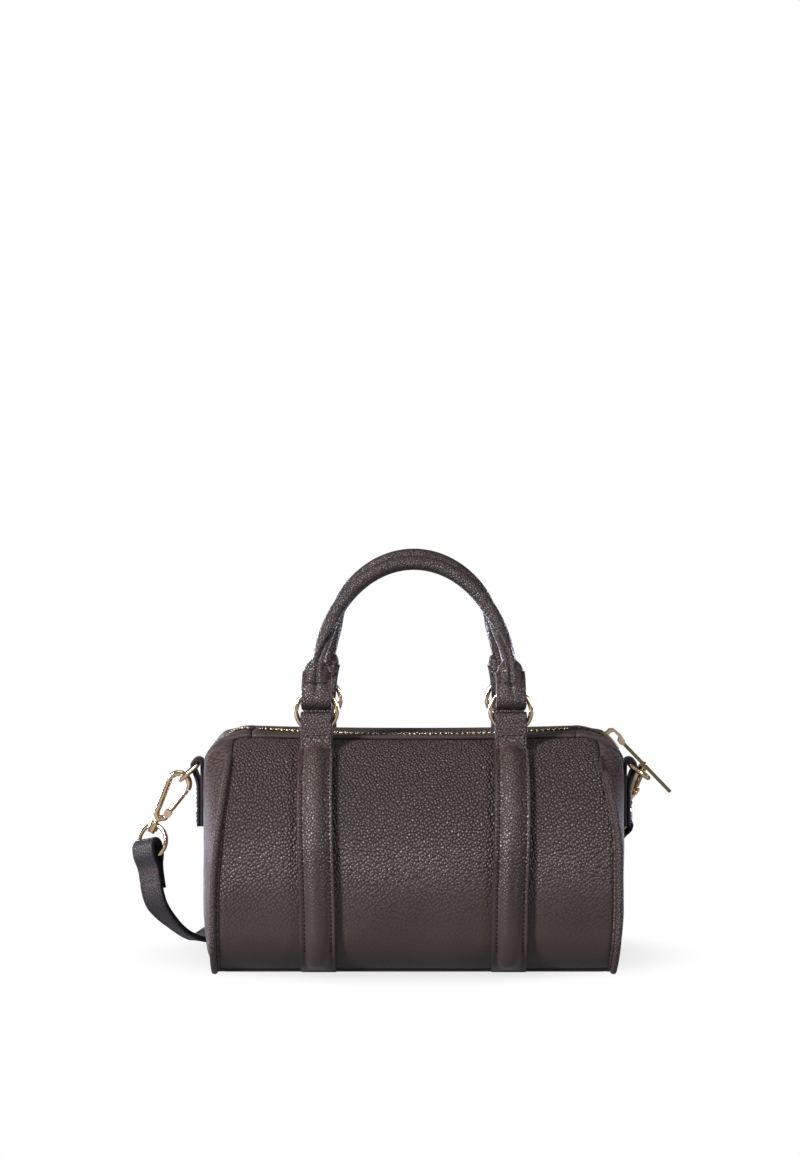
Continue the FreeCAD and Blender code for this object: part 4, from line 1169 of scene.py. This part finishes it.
def handle_line(pinch):
    """Middle line of a handle from the right ring over the arch to the left ring."""
    half = []
    for index in range(HANDLE_STEPS):
        z = LEG_FOOT + (HANDLE_RISE - LEG_FOOT) * math.sin(math.pi / 2 * index / HANDLE_STEPS)
        half.append(Vector((leg_x(z, pinch), 0, z)))
    return half + [Vector((0, 0, HANDLE_RISE))] + [Vector((-p.x, 0, p.z)) for p in reversed(half)]


def wing(z):
    """Half width at a height above the pivot: the full tab, its rounded shoulders, then the bare roll."""
    share = min(1.0, max(0.0, (z - TAB_TOP + SHOULDER_DROP) / SHOULDER_DROP))
    full = TAB_HALF - 0.1 * max(0.0, z - LEG_FOOT)
    return ROLL_R + (full - ROLL_R) * math.sqrt(1 - share**2.4)


def tab_half_thickness(z):
    return TAB_THIN + TAB_PAD * (1 - smooth(z, LEG_FOOT - 1, 13.0))


def tab_face(z, a):
    """Half thickness of the flat tab at a place across it, rounded off at its edges."""
    return tab_half_thickness(z) * (1 - abs(a / wing(z))**6)**0.5


def double_ridge(a):
    """Relief across a tab's outer face: two rounded ridges either side of its middle seam."""
    return RIDGE_HEIGHT * hump(a, 0.0, RIDGE_HALF, 1.0)**0.6 - bell(a, *RIDGE_GROOVE)


def seam_turn(z):
    """Where the seam lies on the roll: on the outer face low down, inside the arch further up."""
    return SEAM_TURN * smooth(z, *SEAM_TURN_HEIGHTS)


def handle_outline(z):
    """Cross-section at a height: the roll with its seam, and the tab's thin wings and double ridge."""
    half = wing(z)
    rise = smooth(z, LEG_FOOT - 2, 12.0)
    roll = tab_half_thickness(z) * (1 - rise) + ROLL_R * rise
    rolled = smooth(z, *SEAM_START)
    points = []
    for index in range(ROLL_POINTS):
        turn = 2 * math.pi * index / ROLL_POINTS
        a = half * math.cos(turn)
        b = math.copysign(tab_face(z, a) if half > ROLL_R + 0.02 else 0.0, math.sin(turn))
        if abs(a) < roll:
            b = math.copysign(max(abs(b), math.sqrt(roll * roll - a * a)), b)
        off = abs(math.atan2(-a, -b) - seam_turn(z)) * ROLL_R
        groove = bell(off, *SEAM_GROOVE) - bell(off - SEAM_LIP_OUT, *SEAM_LIPS)
        pull = 1 - rolled * (1 - smooth(z, *SEAM_FADE)) * groove / max(1.0, math.hypot(a, b))
        if b < 0:
            b -= (1 - rolled) * double_ridge(a)
        points.append((a * pull, b * pull))
    return points


def fold_line():
    """Line of the leather round the ring, its two ends run up inside the tab."""
    end = [(-0.6, LEG_FOOT + 6.0), (-1.8, LEG_FOOT + 2.5), (-3.1, LEG_FOOT - 1.0), (-4.0, LEG_FOOT - 4.5)]
    return end + arc(0.0, FOLD_Z, -FOLD_R, 0.0, math.pi, 18) + [(-out, high) for out, high in reversed(end)]


def handle_stitches(name, stand, pinch, body):
    heights = [LEG_FOOT - 0.6 + (TAB_TOP - 4.0 - LEG_FOOT) * index / 15 for index in range(16)]
    lines = []
    tacks = bmesh.new()
    for side_x, face, edge in product((-1, 1), repeat=3):
        up = (stand.to_3x3() @ Vector((0, face, 0))).normalized()
        points = []
        for z in heights:
            a = edge * (wing(z) - TAB_STITCH_IN)
            points.append(stand @ Vector((side_x * leg_x(z, pinch) + a, face * (tab_face(z, a) + 0.05), z)))
        lines.append((points, up, TAB_STITCH_PITCH))
        a = edge * (TAB_HALF - TACK_IN)
        for z in TACK_HEIGHTS:
            spot = Vector((side_x * RING_X + a, face * (tab_face(z, a) + 0.1), z))
            stitch(tacks, stand @ spot, AX_X, up, TACK)
    sewn(name + "_stitches", lines, THREAD, body)
    finish_piece(tacks, name + "_tacks", [TACK_THREAD], body)


def handle(name, side_y, lean, pinch, body):
    turn = Matrix.Rotation(math.radians(side_y * lean), 4, "X")
    stand = Matrix.Translation((0, side_y * RING_Y, PIVOT_Z)) @ turn
    line = handle_line(pinch)
    front = Vector((0, -side_y, 0))
    rings = []
    core = []
    for place, way in zip(line, ways(line)):
        across = Vector((way.z, 0, -way.x))
        rings.append([stand @ point for point in ring_at(place, across, front, handle_outline(place.z))])
        if place.z > CORE_FOOT:
            core.append([stand @ point for point in ring_at(place, across, front, circle(CORE_R, 16))])
    finish_piece(skinned([core]), name + "_core_fibre", [CORE], body, [name + "_core"])
    bm = bmesh.new()
    skin_rings(bm, rings)
    fold = fold_line()
    for side_x in (-1, 1):
        places = [stand @ Vector((side_x * leg_x(high, pinch), out, high)) for out, high in fold]
        rings = []
        for (out, high), (place, across, up) in zip(fold, strap_frames(places, [AX_X] * len(places))):
            share = smooth(high, -6.0, 1.0) if out * side_y > 0 else 0.0
            outline = ribbed_outline(double_ridge, share, 2 * TAB_HALF, FOLD_T)
            rings.append(ring_at(place, across, -up, outline))
        skin_rings(bm, rings, RIBBED_TINTS)
    solid_normals(bm)
    finish_piece(bm, name + "_leather", [ROLL_HIDE, EDGE], body, [name])
    handle_stitches(name, stand, pinch, body)


handle("front_handle", -1, FRONT_LEAN, 0.0, "front_grip")
handle("rear_handle", 1, REAR_LEAN, REAR_PINCH, "rear_grip")

# End tabs: a strip folded over the ring's bar and riveted to the end
TAB_T = 1.9
TAB_OUTER = 113.0
TAB_INNER = 111.1
TAB_LOOP_R = 2.65
TAB_COLUMN = TAB_W / 2 - 1.6
TAB_ROW = TAB_W / 2 - 2.4
TAB_ROW_Z = TAB_LOW + 1.7
TAB_PITCH = 2.3


def end_tab(name, side):
    line = [(TAB_OUTER, TAB_LOW), (TAB_OUTER, 84.0), (TAB_OUTER + 0.1, 90.0), (TAB_OUTER + 1.6, 95.0)]
    line += [(TAB_OUTER + 3.2, 98.2)] + arc(BAR_X, BAR_Z, TAB_LOOP_R, -0.25, math.pi, 12)
    line += [(TAB_INNER, 96.0), (TAB_INNER, 86.0), (TAB_INNER, TAB_LOW)]
    places = [Vector((side * x, 0, z)) for x, z in soften(line, 2, closed=False)]
    strip = strap_skin(strap_frames(places, [AX_Y] * len(places)), TAB_W, TAB_T)
    finish_piece(strip, name + "_leather", [TRIM_HIDE, EDGE], "bag", [name])
    face = Vector((side, 0, 0))
    x = side * (TAB_OUTER + TAB_T / 2 + 0.03)
    lines = []
    for a in (-TAB_COLUMN, TAB_COLUMN):
        lines.append(([Vector((x, a, z)) for z in (TAB_ROW_Z, 76.0, 83.0, 89.0)], face, TAB_PITCH))
    lines.append(([Vector((x, a, TAB_ROW_Z)) for a in (-TAB_ROW, 0, TAB_ROW)], face, TAB_PITCH))
    sewn(name + "_stitches", lines, THREAD, "bag")


for end, side_x in ENDS:
    end_tab(end + "_tab", side_x)

# Shoulder strap: route points of the solid model, as control points of one smooth line
LEFT_UP = Vector((-0.17, 0.185, 0.967)).normalized()
LEFT_END = Vector((-137.0, -4.4, 36.6))
LEFT_ACROSS = Vector((0.91, -0.42, 0.24)).normalized()
LEFT_EYE = Vector((-141.0, 0.1, 60.0))
RIGHT_UP = Vector((0.1233, -0.7017, 0.7017)).normalized()
RIGHT_END = Vector((112.568, 47.779, 52.758))
RIGHT_ACROSS = Vector((0, 1, 1)).normalized()
RIGHT_EYE = Vector((114.237, 30.824, 69.712))
HANK_HALF = 76.0
HANK_Y = 81.0
HANK_LAYERS = 5
HANK_STEP = 5.8
HANK_Z = 2.0
HANK_TOP = HANK_Z + HANK_STEP * (HANK_LAYERS - 1)
STRAP_SEAM = STRAP_W / 2 - 1.7
STRAP_STITCH = (2.3, 0.55, 0.4)
STRAP_PITCH = 3.0


def strap_route():
    """Control points of the strap's line, each with the direction of its width."""
    front = LEFT_ACROSS.cross(LEFT_UP) * (STRAP_T / 2 - 0.05)
    route = [
        (LEFT_END + front + LEFT_UP * 2, LEFT_ACROSS), (LEFT_END + front - LEFT_UP * 7.5, LEFT_ACROSS),
        ((-131.5, -1.5, 20.5), (0.8, -0.58, 0.15)), ((-124.5, 4.5, 12.0), (0.7, -0.7, 0)),
        ((-118.5, 11.5, 6.5), (0.8, -0.58, 0)), ((-114.5, 21, 3), (0.9, -0.42, 0)),
        ((-113, 36, 1.8), (0.95, -0.3, 0)), ((-109, 56, 1.6), (0.86, -0.5, 0)),
        ((-97, 74, 1.6), (0.5, -0.87, 0)), ((-84, HANK_Y, HANK_Z), -AX_Y),
        ((-HANK_HALF, HANK_Y, HANK_Z), -AX_Y),
    ]
    for level in range(HANK_LAYERS):
        z = HANK_Z + HANK_STEP * level
        side = -1 if level % 2 else 1
        end_x = side * HANK_HALF
        turn_x = side * (HANK_HALF + HANK_STEP / 2)
        route.append(((end_x, HANK_Y, z), -AX_Y))
        if level < HANK_LAYERS - 1:
            for x, high in ((turn_x, z), (turn_x, z + HANK_STEP), (end_x, z + HANK_STEP)):
                route.append(((x, HANK_Y, high), -AX_Y))
    return route + [
        ((84, HANK_Y, HANK_TOP), -AX_Y), ((93, 80, 26.4), (-0.1, -0.98, -0.15)),
        ((106, 74, 30), (-0.25, -0.88, -0.4)), ((114, 65, 37), (0, -0.76, -0.65)),
        (RIGHT_END - RIGHT_UP * 9, -RIGHT_ACROSS), (RIGHT_END, -RIGHT_ACROSS),
    ]


def nurbs_points(points):
    """Points read along a smooth spline that has these as its control points."""
    curve = bpy.data.curves.new("strap_line", "CURVE")
    curve.dimensions = "3D"
    curve.resolution_u = 14
    spline = curve.splines.new("NURBS")
    spline.points.add(len(points) - 1)
    for point, place in zip(spline.points, points):
        point.co = (*place, 1)
    spline.order_u = 3
    spline.use_endpoint_u = True
    holder = bpy.data.objects.new("strap_line", curve)
    mesh = bpy.data.meshes.new_from_object(holder)
    read = [vert.co.copy() for vert in mesh.vertices]
    bpy.data.objects.remove(holder)
    bpy.data.meshes.remove(mesh)
    bpy.data.curves.remove(curve)
    return read


def shoulder_strap():
    places, widths = zip(*strap_route())
    line = nurbs_points(places)
    frames = strap_frames(line, nurbs_points(widths))
    nodes = ["strap_left_stretch", "strap_hank", "strap_right_stretch"]
    skin = strap_skin(frames, STRAP_W, STRAP_T)
    piece = finish_piece(skin, "shoulder_strap", [STRAP_HIDE, EDGE], "bag", nodes)
    lines = []
    for face, edge in product((-1, 1), repeat=2):
        points = [ring_at(*station, [(edge * STRAP_SEAM, face * STRAP_T / 2)])[0] for station in frames]
        lines.append((points, [up * face for _, _, up in frames], STRAP_PITCH, STRAP_STITCH))
    stitches = sewn("shoulder_strap_stitches", lines, THREAD, "bag")
    return piece, stitches, [place * MM for place in line]


# Strap ends: folded round the swivel eye and sewn double
EYE_LOOP_R = 2.9 + STRAP_T / 2
EYE_FOLD = -4.6
LAYER_MIDDLE = STRAP_T / 2 + 0.05
SEWN_DEPTHS = (17.0, 20.0, 23.4)
SEWN_ROW_PITCH = 2.4
SEWN_COLUMN_PITCH = 2.6


def strap_end(name, eye, up, across):
    face = up.cross(across)
    line = [(LAYER_MIDDLE, -26.0), (LAYER_MIDDLE, -14.0), (EYE_LOOP_R, -8.5)]
    line += arc(0.0, EYE_FOLD, EYE_LOOP_R, 0.0, math.pi, 12)
    line += [(-EYE_LOOP_R, -8.5), (-LAYER_MIDDLE, -14.0), (-LAYER_MIDDLE, -21.0), (0.4 - STRAP_T / 2, -24.0)]
    places = [eye + face * h + up * u for h, u in soften(line, 2, closed=False)]
    fold = strap_skin(strap_frames(places, [across] * len(places)), STRAP_W, STRAP_T)
    finish_piece(fold, name + "_leather", [STRAP_HIDE, EDGE], "bag", [name])
    lines = []
    for normal in (-face, face):
        skin = eye + normal * (STRAP_T + 0.07)
        row = [skin + across * a - up * SEWN_DEPTHS[0] for a in (-STRAP_SEAM, 0, STRAP_SEAM)]
        lines.append((row, normal, SEWN_ROW_PITCH))
        for a in (-STRAP_SEAM, STRAP_SEAM):
            column = [skin + across * a - up * depth for depth in SEWN_DEPTHS]
            lines.append((column, normal, SEWN_COLUMN_PITCH))
    sewn(name + "_stitches", lines, TACK_THREAD, "bag")


strap, strap_stitches, strap_path = shoulder_strap()
strap_end("strap_left_loop", LEFT_EYE, LEFT_UP, LEFT_ACROSS)
strap_end("strap_right_loop", RIGHT_EYE, RIGHT_UP, RIGHT_ACROSS)

# Tie round the hank
TIE_SECTION = [(-4.5, 0.3), (4.5, 0.3), (4.5, -0.3), (-4.5, -0.3)]
TIE_ROOM = 0.4
TIE_LOW = 0.35


def hank_tie():
    high = HANK_TOP + STRAP_T / 2 + TIE_ROOM
    reach = STRAP_W / 2 + TIE_ROOM
    corners = [(-reach, TIE_LOW), (reach, TIE_LOW), (reach, high), (-reach, high)]
    line = [Vector((0, HANK_Y + out, z)) for out, z in soften(corners, 2)]
    along = ways(line[-1:] + line + line[:2])[1:-1]
    rings = [ring_at(place, AX_X, AX_X.cross(way), TIE_SECTION) for place, way in zip(line + line[:1], along)]
    ribbon = skinned([rings], capped=False)
    return finish_piece(ribbon, "strap_tie_ribbon", [TIE], "bag", ["strap_tie"])


tie = hank_tie()

# Lining: thin cloth inside the panels and ends, open under the zip with room for the folded lips
LINING_MOUTH_S = SHOULDER_R * math.asin(20.6 / SHOULDER_R)
LINING_IN = 2.75
LINING_EDGE = 3.0
LINING_SHRINK = 0.95
LINING_RINGS = 16
LINING_POINTS = 96
LINING_TOP_Z = 90.0
LINING_SLACK = 0.5
MOUTH_PULL = (3.0, 1.6)
LINING_T = 0.5


def lining_cloth():
    bm = unit_grid(90, 150)
    for vert in bm.verts:
        side = -1 if vert.co.y < 0 else 1
        s = BASE_END - 2 * abs(vert.co.y) * (BASE_END - LINING_MOUTH_S)
        x = 2 * vert.co.x * (seam_x(s, vert.co.x) - LINING_EDGE)
        slack = LINING_IN + LINING_SLACK * noise.noise(Vector((x / 18, s / 16, side * 2.3)))
        vert.co = barrel_point(x, s, side, -slack - bell(s - LINING_MOUTH_S, *MOUTH_PULL))
    for side in (-1, 1):
        seam_loop = outline_loop(LINING_POINTS, side)
        rings = []
        for number in range(LINING_RINGS):
            share = 1 - number / LINING_RINGS
            deep = 1 - share * share
            ring = []
            for y, z, s in seam_loop:
                edge = seam_x(s, side) - LINING_EDGE
                at_y = y * share * LINING_SHRINK
                at_z = END_MIDDLE_Z + (z - END_MIDDLE_Z) * share * LINING_SHRINK
                x = edge + (dome_x(at_y, min(at_z, LINING_TOP_Z + 2)) - LINING_IN - edge) * deep
                ring.append(Vector((side * x, at_y, min(at_z, LINING_TOP_Z + 20 * (1 - deep)))))
            rings.append(ring)
        fill_loop(bm, skin_rings(bm, rings, capped=False)[1])
    bm.normal_update()
    piece = finish_piece(bm, "lining_cloth", [LINING], "bag", ["lining"])
    thicken(piece, LINING_T, 0.0)


lining_cloth()

# Solid pieces that keep their own form take their finishes
FINISHES = {"gold_metal": GOLD, "stiffener": BOARD}
for part in frame["record"]["subparts"]:
    finish = FINISHES.get(part["material_slot"])
    if finish:
        mesh = frame["nodes"][part["node"]].data
        mesh.materials.clear()
        mesh.materials.append(BRONZE if part["node"] == "zip_pull" else finish)

# Stage: the white backdrop's share in reflections, and the floor's shadowed foot under the bag in metres
FLOOR_HALF = 6000.0
FLOOR_GREY = (0.26, 0.26, 0.28, 1)
FLOOR_MIRRORED = 0.1
FLOOR_FOOT = (0.105, 0.05)
FOOT_FADE = (0.95, 1.5)
FOOT_WHITE = 0.78
WORLD_TINT = (0.97, 0.98, 1.0, 1)
WORLD_LEVEL = 0.035
WORLD_MIRRORED = 0.12


def seen_share(tree, mirrored):
    """Share of the white backdrop that a ray meets: all for the camera, less in reflections."""
    path = add(tree, "LightPath")
    direct = math_node(tree, "MAXIMUM", path.outputs["Is Camera Ray"], path.outputs["Is Transmission Ray"])
    glossy = math_node(tree, "MULTIPLY", path.outputs["Is Glossy Ray"], mirrored)
    return math_node(tree, "MAXIMUM", direct, glossy)


def mix_shaders(tree, share, plain, white, output):
    blend = add(tree, "MixShader", {0: share, 1: plain.outputs[0], 2: white.outputs[0]})
    add(tree, output, {"Surface": blend.outputs[0]})


def pale_floor():
    material = bpy.data.materials.new("pale_floor")
    tree = empty_tree(material)
    matt = add(tree, "BsdfDiffuse", {"Color": FLOOR_GREY})
    glow = add(tree, "Emission", {"Strength": 1.0})
    scale = (1 / FLOOR_FOOT[0], 1 / FLOOR_FOOT[1], 1.0)
    foot = add(tree, "Mapping", {"Vector": add(tree, "TexCoord").outputs["Object"], "Scale": scale})
    reach = add(tree, "VectorMath", {0: foot.outputs["Vector"]}, operation="LENGTH").outputs["Value"]
    white = ramp(tree, reach, *FOOT_FADE, FOOT_WHITE, 1.0)
    share = math_node(tree, "MULTIPLY", seen_share(tree, FLOOR_MIRRORED), white)
    mix_shaders(tree, share, matt, glow, "OutputMaterial")
    bm = bmesh.new()
    bmesh.ops.create_grid(bm, x_segments=1, y_segments=1, size=FLOOR_HALF)
    floor = finish_piece(bm, "floor", [material])


def white_world():
    world = bpy.data.worlds.new("studio")
    bpy.context.scene.world = world
    tree = empty_tree(world)
    soft = add(tree, "Background", {"Color": WORLD_TINT, "Strength": WORLD_LEVEL})
    white = add(tree, "Background", {"Color": (1, 1, 1, 1), "Strength": 1.0})
    mix_shaders(tree, seen_share(tree, WORLD_MIRRORED), soft, white, "OutputWorld")


def softbox(name, place, target, width, height, watts, tint=(1, 1, 1)):
    light = bpy.data.lights.new(name, "AREA")
    light.shape = "RECTANGLE"
    light.size = width
    light.size_y = height
    light.energy = watts
    light.color = tint
    lamp = bpy.data.objects.new(name, light)
    lamp.location = place
    lamp.rotation_euler = (Vector(target) - Vector(place)).to_track_quat("-Z", "Y").to_euler()
    bpy.context.scene.collection.objects.link(lamp)


# Lamps: place, target and size in metres, watts and tint
BAG_MIDDLE = (0, 0, 0.08)
BAG_LOW = (0, 0, 0.06)
COOL = (0.93, 0.95, 1.0)
RIM_TINT = (0.8, 0.82, 1.0)

pale_floor()
white_world()
softbox("overhead", (-0.1, -0.3, 1.2), BAG_MIDDLE, 0.6, 0.5, 2)
softbox("key_left", (-0.98, -0.82, 0.7), BAG_MIDDLE, 0.22, 0.7, 40)
softbox("fill_right", (1.1, -0.75, 0.5), BAG_MIDDLE, 0.35, 0.4, 11, COOL)
softbox("left_rim", (-0.75, 0.9, 0.08), BAG_LOW, 0.5, 0.4, 28, RIM_TINT)
softbox("right_rim", (0.75, 0.9, 0.08), BAG_LOW, 0.5, 0.4, 11, RIM_TINT)

# Camera: the photo's size, focal length, middle and horizon in pixels, and the eye's place in metres
PHOTO_W = 800
PHOTO_H = 1156
FOCAL_PX = 2085.0
MIDDLE_PX = 413.7
HORIZON_PX = 471.0
EYE_HEIGHT = 0.2548
EYE_DISTANCE = 1.1

lens = bpy.data.cameras.new("camera")
lens.sensor_width = 36.0
lens.lens = FOCAL_PX * lens.sensor_width / PHOTO_H
lens.shift_x = (PHOTO_W / 2 - MIDDLE_PX) / PHOTO_H
lens.shift_y = (HORIZON_PX - PHOTO_H / 2) / PHOTO_H
camera = bpy.data.objects.new("camera", lens)
camera.location = (0, -EYE_DISTANCE, EYE_HEIGHT)
camera.rotation_euler = (math.pi / 2, 0, 0)
bpy.context.scene.collection.objects.link(camera)
bpy.context.scene.camera = camera
bpy.context.scene.view_settings.view_transform = "Standard"
